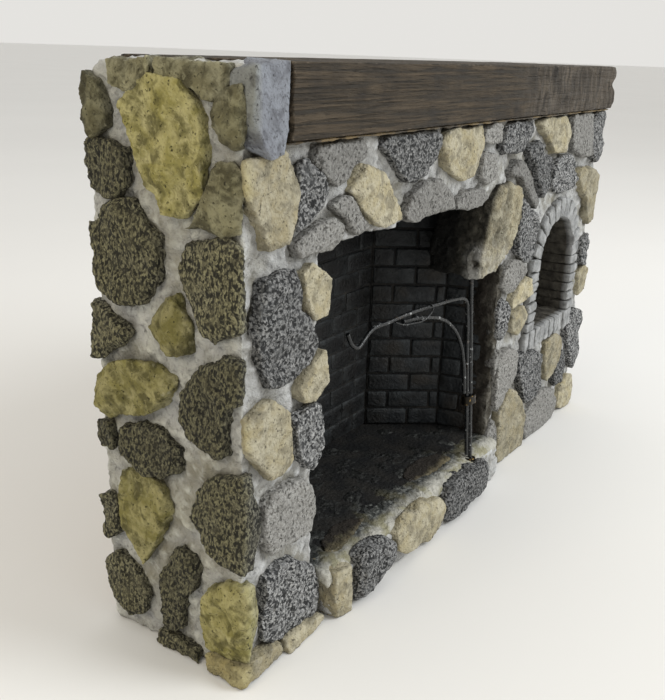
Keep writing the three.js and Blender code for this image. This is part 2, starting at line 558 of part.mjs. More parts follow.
// The brass clip is an oval band round the rod and the leg, clear of both.
function clipShape(grow) {
  const radius = rodRadius + gap + grow
  const shape = new THREE.Shape()
  shape.absarc(0, 0, radius, Math.PI / 2, 3 * Math.PI / 2)
  shape.absarc(legOffset, 0, radius, -Math.PI / 2, Math.PI / 2)
  return shape
}
const clipOutline = clipShape(0.8)
clipOutline.holes.push(new THREE.Path(clipShape(0).getPoints(6)))
const clipGeometry = new THREE.ExtrudeGeometry(clipOutline, { depth: clipWidth, bevelEnabled: false, curveSegments: 6 })
const clipAcross = rodAxis.clone().cross(craneDirection).normalize()
clipGeometry.applyMatrix4(new THREE.Matrix4()
  .makeBasis(clipAcross.clone().cross(rodAxis), clipAcross, rodAxis)
  .setPosition(onRod(clipHeight - clipWidth - 1.5)))
const clip = solid(clipGeometry)

// ---- mortar coats -------------------------------------------------------------------

function chips(faceName, outlines) {
  return outlines.map((outline) => stoneOn(faceName, outline, 0, stoneDepth))
}

const frontElevation = shapeOf([[coatFront, 0], [width - coatFront, 0], [width - coatFront, coreTop],
  [stubRight, coreTop], [stubRight, stubTop], [coatFront, stubTop]])
frontElevation.holes.push(new THREE.Path([[openingLeft, hearthTop], [openingLeft, openingTop],
  [openingRight, openingTop], [openingRight, hearthTop]].map(([x, z]) => new THREE.Vector2(x, z))))
const frontMortar = cutBy(
  joined([onFace('front', frontElevation, -coatFront, coatBack), ...chips('front', frontChips)]), pockets)

function roundedSide(top) {
  const corner = 5
  const shape = new THREE.Shape()
  shape.moveTo(coreFront, 0)
  shape.lineTo(depth - corner, 0)
  shape.absarc(depth - corner, corner, corner, -Math.PI / 2, 0)
  shape.lineTo(depth, top - corner)
  shape.absarc(depth - corner, top - corner, corner, 0, Math.PI / 2)
  shape.lineTo(coreFront, top)
  return shape
}

const stubCap = block(coatFront, stubRight, coreFront, depth, stubTop - mortarCoat / 2, stubTop)
  .intersect(onFace('left', roundedSide(stubTop), 0, stubRight))
const leftMortar = cutBy(joined([
  onFace('left', roundedSide(stubTop), -coatFront, coatBack), stubCap, ...chips('left', leftChips)]), pockets)
const rightMortar = cutBy(joined([
  onFace('right', roundedSide(coreTop), -coatFront, coatBack), ...chips('right', rightChips)]), pockets)
const hearthMortar = cutBy(
  block(hearthBedLeft, hearthBedRight, -hearthBedProud, coatFront - gap, 0, hearthBedHeight), [...pockets, footSocket])

// ---- carcass ------------------------------------------------------------------------

const reach = linerRun + 1.5 * gap
const pierTop = openingTop + linerThickness + gap
const inner = fireboxPlan(reach, coreFront, coreBack)
const leftPier = column([...inner.left, [coreLeft, coreBack], [coreLeft, coreFront]], 0, pierTop)
const nichePocket = onFace('front', archShape(nicheWall + gap), -coatBack, nicheDepth + nicheWall + gap)
const rightPier = column([...inner.right, [coreRight, coreFront], [coreRight, coreBack]].reverse(), 0, pierTop)
  .subtract(nichePocket)
const lintel = block(coreLeft, coreRight, coreFront, coreBack, pierTop + gap, coreTop)
  .add(block(coreLeft, stubRight, coreFront, coreBack, pierTop + gap, coreStubTop))
const slabPlan = fireboxPlan(linerRun, coreFront, coreBack).whole
const hearthCore = column(slabPlan, 0, hearthTop - floorThickness - gap)
const board = onFace('front', shapeOf([[coreLeft, 0], [coreRight, 0], [coreRight, coreTop], [stubRight, coreTop],
  [stubRight, coreStubTop], [coreLeft, coreStubTop]]), -boardFront, depth)

// ---- firebox ------------------------------------------------------------------------

const linerBottom = hearthTop + gap
const linerTop = openingTop - gap
const cheekInner = fireboxPlan(0, coreFront, fireboxDepth)
const cheekOuter = fireboxPlan(linerRun, coreFront, fireboxDepth)
const leftCheek = column([...cheekInner.left, ...cheekOuter.left.reverse()], linerBottom, linerTop)
const rightCheek = column([...cheekInner.right, ...cheekOuter.right.reverse()], linerBottom, linerTop)
const backLeft = openingLeft + cheekSplay - linerRun
const backRight = openingRight - cheekSplay + linerRun
const fireback = block(backLeft, backRight, fireboxDepth + gap, coreBack, linerBottom, linerTop)
const ceiling = column(slabPlan, openingTop, openingTop + linerThickness)
const fireFloor = column(slabPlan, hearthTop - floorThickness, hearthTop)

// ---- niche --------------------------------------------------------------------------

const nicheLining = onFace('front', archShape(nicheWall), -coreFront, nicheDepth + nicheWall)
  .subtract(onFace('front', archShape(0), 0, nicheDepth))

const ringShape = archShape(archBrickWidth)
ringShape.holes.push(new THREE.Path(archShape(0).getPoints(8)))
const archCentre = nicheLeft + nicheWidth / 2
const springing = nicheTop - nicheWidth / 2
const ringBase = onFace('front', ringShape, -archBrickProud, coatBack)

function archBrick(points) {
  return onFace('front', shapeOf(points), 0, coatBack - 1, 0.4, 0.01)
}

const bricks = []
const jambPitch = (springing - nicheSill) / jambCourses
for (let course = 0; course < jambCourses; course += 1) {
  const z0 = nicheSill + course * jambPitch + archJoint / 2
  const z1 = z0 + jambPitch - archJoint
  for (const x0 of [nicheLeft - archBrickWidth, nicheRight]) {
    const x1 = x0 + archBrickWidth
    bricks.push(archBrick([[x0, z0], [x1, z0], [x1, z1], [x0, z1]]))
  }
}
const sillPitch = (nicheWidth + 2 * archBrickWidth) / sillBricks
for (let i = 0; i < sillBricks; i += 1) {
  const x0 = nicheLeft - archBrickWidth + i * sillPitch + archJoint / 2
  const x1 = x0 + sillPitch - archJoint
  const z0 = nicheSill - archBrickWidth
  bricks.push(archBrick([[x0, z0], [x1, z0], [x1, nicheSill - archJoint / 2], [x0, nicheSill - archJoint / 2]]))
}
for (let i = 0; i < voussoirs; i += 1) {
  const corner = (radius, side) => {
    const angle = Math.PI * (i + 0.5 + side / 2) / voussoirs - side * archJoint / 2 / radius
    return [archCentre + radius * Math.cos(angle), springing + radius * Math.sin(angle)]
  }
  const rIn = nicheWidth / 2 + 0.05
  const rOut = nicheWidth / 2 + archBrickWidth - 0.1
  bricks.push(archBrick([corner(rIn, -1), corner(rOut, -1), corner(rOut, 1), corner(rIn, 1)]))
}
const nicheArch = joined([ringBase, ...bricks])

// ---- mantel beam --------------------------------------------------------------------

const beamRight = width + beamOverhang
const beamEnd = [[-2, 0], [0, 0.12], [0, 0.3], [-2.6, 0.42], [-4.4, 0.54], [-4, 0.68], [-1, 0.76], [-0.2, 0.9], [-2.6, 1]]
const beam = onFace('front', shapeOf([[beamLeft, height], [beamLeft, beamUnderside],
  ...beamEnd.map(([dx, share]) => [beamRight + dx, beamUnderside + share * beamHeight])]),
beamProud, depth, 0.8, 0.01)

// ---- assembly -----------------------------------------------------------------------

const tones = { dark: 0x4a4c4c, grey: 0x8b8c8a, blue: 0x8f97a3, cream: 0xb5ac8a, olive: 0x8a8464 }
const finishes = {
  mortar: { color: 0xa9aaa8, roughness: 0.95 },
  core: { color: 0x9a9a98, roughness: 0.95 },
  board: { color: 0xb9a88a, roughness: 0.9 },
  soot: { color: 0x1d2022, roughness: 0.85 },
  floor: { color: 0x34332e, roughness: 0.9 },
  nicheLining: { color: 0x5c564b, roughness: 0.9 },
  nicheBrick: { color: 0xbfc0bf, roughness: 0.9 },
  wood: { color: 0x3d302a, roughness: 0.65 },
  iron: { color: 0x16181a, roughness: 0.45, metalness: 0.6 },
  brass: { color: 0xa8803a, roughness: 0.4, metalness: 0.9 },
}

const wall = new THREE.Group()
wall.position.set(-width / 2, -depth / 2, 0)

function addPiece(name, body, finish) {
  const mesh = new THREE.Mesh(geometryOf(body), new THREE.MeshStandardMaterial({ metalness: 0, ...finish }))
  mesh.name = name
  wall.add(mesh)
}

addPiece('hearth_core', hearthCore, finishes.core)
addPiece('left_pier_core', leftPier, finishes.core)
addPiece('right_pier_core', rightPier, finishes.core)
addPiece('lintel_core', lintel, finishes.core)
addPiece('back_board', board, finishes.board)
addPiece('firebox_floor', fireFloor, finishes.floor)
addPiece('firebox_left_cheek', leftCheek, finishes.soot)
addPiece('firebox_right_cheek', rightCheek, finishes.soot)
addPiece('fireback', fireback, finishes.soot)
addPiece('firebox_ceiling', ceiling, finishes.soot)
addPiece('niche_lining', nicheLining, finishes.nicheLining)
addPiece('front_mortar', frontMortar, finishes.mortar)
addPiece('left_mortar', leftMortar, finishes.mortar)
addPiece('right_mortar', rightMortar, finishes.mortar)
addPiece('hearth_mortar', hearthMortar, finishes.mortar)
addPiece('niche_brick_arch', nicheArch, finishes.nicheBrick)
for (const { name, tone, body } of stones) addPiece(name, body, { color: tones[tone], roughness: 0.9 })
addPiece('mantel_beam', beam, finishes.wood)
addPiece('crane_foot_ring', footRing, finishes.brass)
addPiece('crane_pivot_rod', pivotRod, finishes.iron)
addPiece('crane_arm', arm, finishes.iron)
addPiece('crane_brace', brace, finishes.iron)
addPiece('crane_tie_wire', tieWire, finishes.iron)
addPiece('crane_clip', clip, finishes.brass)

const group = new THREE.Group()
group.add(wall)

export default group
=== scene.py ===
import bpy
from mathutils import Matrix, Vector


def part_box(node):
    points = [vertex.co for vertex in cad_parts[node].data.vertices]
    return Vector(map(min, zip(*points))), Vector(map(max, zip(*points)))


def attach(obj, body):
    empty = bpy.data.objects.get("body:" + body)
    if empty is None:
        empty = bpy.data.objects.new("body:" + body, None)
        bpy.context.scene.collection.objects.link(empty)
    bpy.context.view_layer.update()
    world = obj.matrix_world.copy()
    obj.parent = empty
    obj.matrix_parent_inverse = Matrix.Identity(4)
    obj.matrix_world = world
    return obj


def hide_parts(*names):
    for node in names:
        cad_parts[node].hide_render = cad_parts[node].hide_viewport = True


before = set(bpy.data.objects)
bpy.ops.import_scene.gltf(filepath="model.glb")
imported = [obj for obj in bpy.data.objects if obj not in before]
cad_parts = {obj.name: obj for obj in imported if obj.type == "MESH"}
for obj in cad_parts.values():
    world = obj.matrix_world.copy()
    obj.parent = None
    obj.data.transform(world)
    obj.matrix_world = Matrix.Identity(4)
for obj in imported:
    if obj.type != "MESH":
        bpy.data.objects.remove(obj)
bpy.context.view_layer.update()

import math
import random

import bpy
from mathutils import Matrix, Vector, noise


# ---- Cast cores ---------------------------------------------------------------------
# The piers, the lintel and the hearth are cast blocks that carry the mortar and the
# stones. Only their undersides show, as bare grey casting with small air holes.

class Finish:
    """A painted finish, built up in layers over the piece's own coordinates in metres."""

    def __init__(self, name, roughness=0.9, metallic=0.0, specular=0.35):
        self.material = bpy.data.materials.new(name)
        self.material.use_nodes = True
        self.nodes = self.material.node_tree.nodes
        self.links = self.material.node_tree.links
        self.shader = self.nodes["Principled BSDF"]
        self.shader.inputs["Roughness"].default_value = roughness
        self.shader.inputs["Metallic"].default_value = metallic
        self.shader.inputs["Specular IOR Level"].default_value = specular
        self.place = self.nodes.new("ShaderNodeTexCoord").outputs["Object"]
        self.bump = None

    def stretched(self, stretch):
        if stretch is None:
            return self.place
        mapping = self.nodes.new("ShaderNodeMapping")
        mapping.inputs["Scale"].default_value = stretch
        self.links.new(self.place, mapping.inputs["Vector"])
        return mapping.outputs["Vector"]

    def ramp(self, value, low, high):
        node = self.nodes.new("ShaderNodeMapRange")
        node.inputs["From Min"].default_value = low
        node.inputs["From Max"].default_value = high
        self.links.new(value, node.inputs["Value"])
        return node.outputs["Result"]

    def grain(self, size, low, high, detail=4.0, stretch=None, twist=0.0):
        """Cloudy noise with lumps of about this size, from 0 below low to 1 above high."""
        node = self.nodes.new("ShaderNodeTexNoise")
        node.inputs["Scale"].default_value = 1 / size
        node.inputs["Detail"].default_value = detail
        node.inputs["Distortion"].default_value = twist
        self.links.new(self.stretched(stretch), node.inputs["Vector"])
        return self.ramp(node.outputs[0], low, high)

    def pits(self, size, low, high):
        """Small round hollows, 0 at their middles."""
        node = self.nodes.new("ShaderNodeTexVoronoi")
        node.inputs["Scale"].default_value = 1 / size
        self.links.new(self.place, node.inputs["Vector"])
        return self.ramp(node.outputs["Distance"], low, high)

    def along(self, axis, low, high):
        """From 0 to 1 between two places along X, Y or Z."""
        node = self.nodes.new("ShaderNodeSeparateXYZ")
        self.links.new(self.place, node.inputs[0])
        return self.ramp(node.outputs[axis], low, high)

    def tint(self):
        """The piece's own shade, stored on its mesh."""
        node = self.nodes.new("ShaderNodeAttribute")
        node.attribute_name = "tint"
        return node.outputs["Fac"]

    def worn_edges(self, low, high):
        """From 0 in the hollows to 1 on edges that stand out."""
        node = self.nodes.new("ShaderNodeNewGeometry")
        return self.ramp(node.outputs["Pointiness"], low, high)

    def crevice_shade(self, reach, low, high):
        """From 0 deep in a crevice this wide to 1 in the open: the mask for painted shade in crevices."""
        node = self.nodes.new("ShaderNodeAmbientOcclusion")
        node.samples = 6
        node.inputs["Distance"].default_value = reach
        return self.ramp(node.outputs["AO"], low, high)

    def maths(self, operation, first, second):
        node = self.nodes.new("ShaderNodeMath")
        node.operation = operation
        node.use_clamp = True
        for socket, value in zip(node.inputs, (first, second)):
            if isinstance(value, float):
                socket.default_value = value
            else:
                self.links.new(value, socket)
        return node.outputs[0]

    def both(self, first, second):
        """Where two patterns meet."""
        return self.maths("MULTIPLY", first, second)

    def over(self, under, top, cover):
        """One colour painted over another where cover is 1."""
        node = self.nodes.new("ShaderNodeMix")
        node.data_type = "RGBA"
        for socket, value in ((node.inputs[6], under), (node.inputs[7], top), (node.inputs[0], cover)):
            if isinstance(value, tuple):
                socket.default_value = (*value, 1.0)
            elif isinstance(value, float):
                socket.default_value = value
            else:
                self.links.new(value, socket)
        return node.outputs[2]

    def between(self, factor, low, high):
        """A number from low to high, by a 0 to 1 pattern."""
        node = self.nodes.new("ShaderNodeMapRange")
        node.inputs["To Min"].default_value = low
        node.inputs["To Max"].default_value = high
        self.links.new(factor, node.inputs["Value"])
        return node.outputs["Result"]

    def shade(self, colour, factor, dark, light):
        """The colour made darker or lighter by a 0 to 1 pattern."""
        node = self.nodes.new("ShaderNodeVectorMath")
        node.operation = "SCALE"
        self.links.new(colour, node.inputs[0])
        self.links.new(self.between(factor, dark, light), node.inputs["Scale"])
        return node.outputs[0]

    def paint(self, colour):
        self.links.new(colour, self.shader.inputs["Base Color"])

    def sheen(self, factor, low, high):
        """Roughness between two values, by a 0 to 1 pattern."""
        self.links.new(self.between(factor, low, high), self.shader.inputs["Roughness"])

    def relief(self, height, depth):
        """Fine relief, depth in metres."""
        node = self.nodes.new("ShaderNodeBump")
        node.inputs["Distance"].default_value = depth
        self.links.new(height, node.inputs["Height"])
        if self.bump is not None:
            self.links.new(self.bump, node.inputs["Normal"])
        self.bump = node.outputs["Normal"]
        self.links.new(self.bump, self.shader.inputs["Normal"])


def give(piece, finish):
    """Puts one finish on the whole piece."""
    piece.data.materials.clear()
    piece.data.materials.append(finish.material)


casting = Finish("bare_casting", roughness=0.95)
casting.paint(casting.over((0.34, 0.34, 0.33), (0.44, 0.43, 0.41), casting.grain(0.012, 0.3, 0.7)))
casting.relief(casting.grain(0.0011, 0.35, 0.6), 0.0002)
casting.relief(casting.pits(0.004, 0.05, 0.14), 0.0003)
for core in ("hearth_core", "left_pier_core", "right_pier_core", "lintel_core", "niche_lining"):
    give(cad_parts[core], casting)


# ---- Back board ---------------------------------------------------------------------
# A thin hardboard sheet closes the back. Its smooth face is mid brown with short
# pressed fibres.

hardboard = Finish("hardboard", roughness=0.7)
fibres = hardboard.grain(0.0016, 0.35, 0.65, stretch=(0.25, 1, 1), twist=1.0)
sheet_brown = hardboard.over((0.23, 0.145, 0.075), (0.31, 0.2, 0.11), fibres)
hardboard.paint(hardboard.over(sheet_brown, (0.17, 0.105, 0.055), hardboard.grain(0.03, 0.5, 0.75)))
hardboard.relief(fibres, 0.00008)
give(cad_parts["back_board"], hardboard)


# ---- Mortar coats -------------------------------------------------------------------
# The front, both sides and the hearth are coated in pale grey mortar, pushed up round
# the stones by hand, so it lies in soft lumps. Soot has stained it inside the opening.

core_setback = 0.0063
wall_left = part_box("left_mortar")[0][0]
wall_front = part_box("left_mortar")[0][1] - core_setback
wall_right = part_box("right_mortar")[1][0]
lintel_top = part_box("right_mortar")[1][2] * 1000


def at(x, y, z):
    """A place in millimetres from the wall's front left foot: right, inwards, up."""
    return Vector((wall_left + x / 1000, wall_front + y / 1000, z / 1000))


def across_wall(finish, start, end):
    """From 0 to 1 between two places across the wall, in millimetres."""
    return finish.along("X", at(start, 0, 0).x, at(end, 0, 0).x)


def into_wall(finish, start, end):
    """From 0 to 1 between two depths in the wall, in millimetres."""
    return finish.along("Y", at(0, start, 0).y, at(0, end, 0).y)


def start_on(piece):
    """Selects one piece alone and makes it the active one."""
    if bpy.context.object and bpy.context.object.mode != "OBJECT":
        bpy.ops.object.mode_set(mode="OBJECT")
    bpy.ops.object.select_all(action="DESELECT")
    piece.select_set(True)
    bpy.context.view_layer.objects.active = piece


def add_block(name, low, high):
    """A block between two corners, its place in its mesh."""
    bpy.ops.object.select_all(action="DESELECT")
    bpy.ops.mesh.primitive_cube_add(size=1)
    piece = bpy.context.object
    piece.name = name
    piece.data.transform(Matrix.Translation((low + high) / 2) @ Matrix.Diagonal((*(high - low), 1)))
    return piece


def apply_modifiers(piece):
    start_on(piece)
    for modifier in list(piece.modifiers):
        bpy.ops.object.modifier_apply(modifier=modifier.name)


def remesh(piece, voxel):
    modifier = piece.modifiers.new("even mesh", "REMESH")
    modifier.mode = "VOXEL"
    modifier.voxel_size = voxel
    modifier.use_smooth_shade = True


def lump(piece, size, height, middle=0.5):
    """Pushes the surface in and out in lumps of one size."""
    texture = bpy.data.textures.new(f"lumps_{size}", type="CLOUDS")
    texture.noise_scale = size
    modifier = piece.modifiers.new("lumps", "DISPLACE")
    modifier.texture = texture
    modifier.texture_coords = "LOCAL"
    modifier.strength = height
    modifier.mid_level = middle


def soften(piece, rounds):
    modifier = piece.modifiers.new("soften", "SMOOTH")
    modifier.iterations = rounds


def cut_out(piece, cutter):
    """Takes the cutter's shape out of the piece and the cutter out of the scene."""
    modifier = piece.modifiers.new("cut", "BOOLEAN")
    modifier.operation = "DIFFERENCE"
    modifier.object = cutter
    apply_modifiers(piece)
    bpy.data.objects.remove(cutter)


def keep_off_ground(piece):
    lift = 0.0001
    for vertex in piece.data.vertices:
        vertex.co.z = max(vertex.co.z, lift)


def in_the_surround(piece, slot, *nodes):
    """The piece stands still with the wall, and may stand for CAD pieces."""
    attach(piece, "surround")
    if nodes:
        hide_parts(*nodes)


def sooted(finish, colour):
    """Soot over what faces the fire: inside the opening and behind the stone faces."""
    lintel_edge, lintel_under = 0.1115, 0.106
    inside = finish.both(across_wall(finish, 31, 35), across_wall(finish, 152, 147.5))
    deep = finish.both(inside, into_wall(finish, 0.5, 8))
    below = finish.both(deep, finish.along("Z", lintel_edge, lintel_under))
    patchy = finish.maths("ADD", below, finish.both(below, finish.grain(0.004, 0.3, 0.7)))
    return finish.over(colour, (0.022, 0.018, 0.014), patchy)


def warm_light_on_left(finish, colour, amount):
    """Painted warm light: a yellow tint over the left end that stops at the corner."""
    left_end = across_wall(finish, 3.5, -0.8)
    warm_light_tint = finish.nodes.new("ShaderNodeVectorMath")
    warm_light_tint.operation = "MULTIPLY"
    finish.links.new(colour, warm_light_tint.inputs[0])
    warm_light_tint.inputs[1].default_value = (1.02, 0.97, 0.66)
    return finish.over(colour, warm_light_tint.outputs[0], finish.both(left_end, amount))


mortar = Finish("mortar", roughness=0.96, specular=0.2)
mortar_base = mortar.over((0.36, 0.36, 0.352), (0.5, 0.5, 0.49), mortar.grain(0.0055, 0.36, 0.64))
mortar_dust = mortar.over(mortar_base, (0.2, 0.2, 0.195), mortar.grain(0.0017, 0.5, 0.72, twist=0.6))
mortar_stain = mortar.over(mortar_dust, (0.25, 0.235, 0.185), mortar.grain(0.014, 0.5, 0.72))
mortar_brushed = mortar.over(mortar_stain, (0.62, 0.63, 0.63), mortar.both(
    mortar.worn_edges(0.5, 0.56), mortar.grain(0.0022, 0.3, 0.6)))
# Painted shade: the mortar darkens in the crevices round the stones.
mortar_hollow_shade = mortar.over((0.14, 0.132, 0.106), mortar_brushed, mortar.crevice_shade(0.003, 0.15, 0.7))
# Painted warm light on the left end, then soot inside the opening.
mortar.paint(sooted(mortar, warm_light_on_left(mortar, mortar_hollow_shade, 0.85)))
mortar.relief(mortar.grain(0.0012, 0.3, 0.7, detail=6), 0.00035)
mortar.relief(mortar.grain(0.00045, 0.35, 0.65), 0.00012)


def coat(name, piece, node):
    """Turns a plain slab into a lumpy mortar coat."""
    piece.name = name
    remesh(piece, 0.00085)
    soften(piece, 3)
    lump(piece, 0.008, 0.0032, middle=0.6)
    lump(piece, 0.0026, 0.0015)
    apply_modifiers(piece)
    keep_off_ground(piece)
    give(piece, mortar)
    in_the_surround(piece, "mortar", node)
    return piece


def arch_solid(name, left, right, sill, top, front, back):
    """An arched block in millimetres, for the niche and what follows it."""
    radius, steps = (right - left) / 2, 16
    middle, spring = (left + right) / 2, top - radius
    turns = [math.pi * i / steps for i in range(steps + 1)]
    outline = [(left, sill), (right, sill)]
    outline += [(middle + radius * math.cos(a), spring + radius * math.sin(a)) for a in turns]
    return slab(name, "front", outline, front, back)


crust_top = 17.7


def on_face(face, across, depth, z):
    """A place on a stone face: across it, behind it and up, in millimetres."""
    if face == "front":
        return at(across, depth, z)
    if face == "left":
        return at(depth, across, z)
    if face == "floor":
        return at(across, z, crust_top - depth)
    return Vector((wall_right - depth / 1000, wall_front + across / 1000, z / 1000))


def slab(name, face, outline, front, back):
    """A closed slab with this outline on a face, from front to back in millimetres."""
    bpy.ops.object.select_all(action="DESELECT")
    bpy.ops.mesh.primitive_circle_add(vertices=len(outline), radius=0.01, fill_type="NGON")
    piece = bpy.context.object
    piece.name = name
    for vertex, (across, z) in zip(piece.data.vertices, outline):
        vertex.co = on_face(face, across, front, z)
    bpy.ops.object.mode_set(mode="EDIT")
    bpy.ops.mesh.select_all(action="SELECT")
    through = on_face(face, 0, back, 0) - on_face(face, 0, front, 0)
    bpy.ops.mesh.extrude_region_move(TRANSFORM_OT_translate={"value": through})
    bpy.ops.mesh.select_all(action="SELECT")
    bpy.ops.mesh.normals_make_consistent(inside=False)
    bpy.ops.object.mode_set(mode="OBJECT")
    return piece


stub_right, stub_top = 13.2, 150.4
open_left, open_right, open_top = 33, 150, 107.5
skin, bed = 2.3, 6
front_coat = slab("front_mortar_coat", "front", [
    (2.4, 0), (open_left, 0), (open_left, open_top), (open_right, open_top), (open_right, 0),
    (242.6, 0), (242.6, lintel_top), (stub_right, lintel_top), (stub_right, stub_top),
    (2.4, stub_top)], skin, bed)
cut_out(front_coat, arch_solid("niche_cut", 178, 228, 44, 99, -5, 12))
coat("front_mortar_coat", front_coat, "front_mortar")

left_coat = slab("left_mortar_coat", "left", [
    (2.4, 0), (44, 0), (47.4, 1.6), (48.8, 5), (48.8, 144), (47.4, 147.4), (44, stub_top),
    (2.4, stub_top)], skin, bed)
left_cap = add_block("cap", at(3, 4, stub_top - 2.2), at(stub_right, 46.5, stub_top))
start_on(left_coat)
left_cap.select_set(True)
bpy.ops.object.join()
coat("left_mortar_coat", left_coat, "left_mortar")

right_coat = slab("right_mortar_coat", "right", [
    (2.4, 0), (44, 0), (47.4, 1.6), (48.8, 5), (48.8, lintel_top - 4), (44, lintel_top),
    (2.4, lintel_top)], skin, bed)
coat("right_mortar_coat", right_coat, "right_mortar")

hearth_coat = slab("hearth_mortar_coat", "front", [
    (36, 0), (149, 0), (150, 6), (149, 14.4), (101, 13.4), (99.5, 12.8), (67, 13.2), (45, 14),
    (36, 15)], -3.6, 4)
coat("hearth_mortar_coat", hearth_coat, "hearth_mortar")


# ---- Firebox ------------------------------------------------------------------------
# The cheeks, fireback and ceiling are plaster, painted soot black. The bricks stand out
# of them in courses of 6.8 mm, half a brick stepped, each a little out of line.

soot = Finish("soot_plaster", roughness=0.75, specular=0.3)
soot.paint(soot.over((0.006, 0.0065, 0.007), (0.022, 0.02, 0.017), soot.grain(0.009, 0.4, 0.7)))
soot.relief(soot.grain(0.0013, 0.3, 0.7), 0.0003)
for wall in ("firebox_left_cheek", "firebox_right_cheek", "fireback", "firebox_ceiling"):
    give(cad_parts[wall], soot)

soot_brick = Finish("soot_brick", roughness=0.55, specular=0.3)
brick_base = soot_brick.over((0.009, 0.0105, 0.012), (0.028, 0.032, 0.035),
                             soot_brick.grain(0.005, 0.4, 0.75))
brick_brown = soot_brick.over(brick_base, (0.026, 0.021, 0.015), soot_brick.grain(0.014, 0.5, 0.75))
# Painted shade: the bricks are darker towards the fireback, at the back of the opening.
brick_back_shade = soot_brick.over(brick_brown, (0.0045, 0.0045, 0.0045),
                              soot_brick.both(into_wall(soot_brick, 34, 43), 0.85))
brick_edge = soot_brick.over(brick_back_shade, (0.05, 0.057, 0.06), soot_brick.both(
    soot_brick.worn_edges(0.52, 0.6), soot_brick.grain(0.003, 0.35, 0.6)))
soot_brick.paint(brick_edge)
soot_brick.sheen(soot_brick.grain(0.003, 0.3, 0.7), 0.42, 0.68)
soot_brick.relief(soot_brick.grain(0.0011, 0.3, 0.7), 0.00022)

course, brick_length, brick_joint = 6.8, 16.0, 0.85


def one_brick(length, height, thickness, name="brick"):
    """A brick with soft worn arrises, in millimetres, its middle at the origin."""
    corner = Vector((length, thickness, height)) / 2000
    brick = add_block(name, -corner, corner)
    start_on(brick)
    bpy.ops.object.mode_set(mode="EDIT")
    bpy.ops.mesh.select_all(action="SELECT")
    bpy.ops.mesh.subdivide(number_cuts=2)
    bpy.ops.object.mode_set(mode="OBJECT")
    bevel = brick.modifiers.new("arris", "BEVEL")
    bevel.width = 0.00055
    bevel.segments = 2
    bevel.limit_method = "ANGLE"
    apply_modifiers(brick)
    return brick


def join_all(name, pieces):
    start_on(pieces[0])
    for piece in pieces[1:]:
        piece.select_set(True)
    bpy.ops.object.join()
    joined = bpy.context.object
    joined.name = name
    return joined


def smooth(piece, angle=35):
    start_on(piece)
    bpy.ops.object.shade_smooth_by_angle(angle=math.radians(angle))


def lay_wall(name, runs, low, high, proud, joint, rng, lay=course, long=brick_length, thick=3.0):
    """Bricks in stepped courses on upright walls. Each run is a wall's plan line in
    millimetres, from left to right as it is seen."""
    bricks, shortest = [], 2
    for start, end in runs:
        start, end = Vector(start), Vector(end)
        run = (end - start).length
        way = (end - start).normalized()
        inward = Vector((way.y, -way.x))
        rows = round((high - low) / lay)
        height = (high - low) / rows
        for row in range(rows):
            edge = -long / 2 * (row % 2)
            while edge < run:
                left, right = max(edge, 0), min(edge + long, run)
                edge += long
                if right - left < shortest:
                    continue
                brick = one_brick(right - left - joint, height - joint, thick)
                out = proud - thick / 2 + rng.uniform(-0.15, 0.2)
                middle = start + way * (left + right) / 2 + inward * out
                tip = Matrix.Rotation(rng.uniform(-0.012, 0.012), 4, "Y")
                lean = Matrix.Rotation(rng.uniform(-0.01, 0.01), 4, "X")
                turn = Matrix.Rotation(math.atan2(way.y, way.x), 4, "Z")
                place = Matrix.Translation(at(middle.x, middle.y, low + (row + 0.5) * height))
                brick.data.transform(place @ turn @ (tip @ lean))
                bricks.append(brick)
    wall = join_all(name, bricks)
    lump(wall, 0.003, 0.0005)
    lump(wall, 0.0011, 0.00025)
    apply_modifiers(wall)
    smooth(wall, 50)
    return wall


brick_rng = random.Random(12)
firebox_walls = {
    "left_cheek_bricks": ([((34.5, 6.3), (38, 21)), ((38, 21), (55, 43))], 0.75, brick_joint),
    "right_cheek_bricks": ([((128, 43), (145, 21)), ((145, 21), (148.5, 6.3))], 0.75, brick_joint),
    "fireback_bricks": ([((55, 43.3), (128, 43.3))], 0.35, 0.5),
}
for name, (runs, proud, joint) in firebox_walls.items():
    bricks = lay_wall(name, runs, 17.2, 107.2, proud, joint, brick_rng)
    give(bricks, soot_brick)
    in_the_surround(bricks, "soot_brick")


# ---- Firebox floor and hearth crust -------------------------------------------------
# Rough mortar is trowelled over the floor slab and out to the hearth stones. It is soot
# black at the back and worn pale with ochre and olive towards the room.

trowelled = Finish("hearth_crust", roughness=0.75, specular=0.35)
crust_ridge = trowelled.over((0.46, 0.45, 0.4), (0.3, 0.285, 0.19), trowelled.grain(0.0045, 0.45, 0.6))
crust_worn = trowelled.over((0.035, 0.038, 0.036), (0.2, 0.205, 0.19),
                            trowelled.grain(0.0016, 0.5, 0.66, detail=8))
crust_ochre = trowelled.over(crust_worn, (0.085, 0.078, 0.045), trowelled.grain(0.009, 0.5, 0.62))
crust_soot = trowelled.over((0.009, 0.0095, 0.009), (0.045, 0.047, 0.043),
                            trowelled.grain(0.0022, 0.52, 0.7, detail=7))


def reached(finish, start, end, patch):
    """From 0 to 1 into the firebox, with a ragged edge."""
    return finish.maths("ADD", into_wall(finish, start, end),
                        finish.maths("SUBTRACT", finish.grain(patch, 0.3, 1.1), 0.35))


crust_front = trowelled.over(crust_ridge, crust_ochre, reached(trowelled, -1.2, 2.6, 0.005))
trowelled.paint(trowelled.over(crust_front, crust_soot, reached(trowelled, 3.5, 13, 0.008)))
trowelled.sheen(trowelled.grain(0.003, 0.3, 0.7), 0.38, 0.85)
trowelled.relief(trowelled.grain(0.0013, 0.3, 0.7, detail=6), 0.0005)

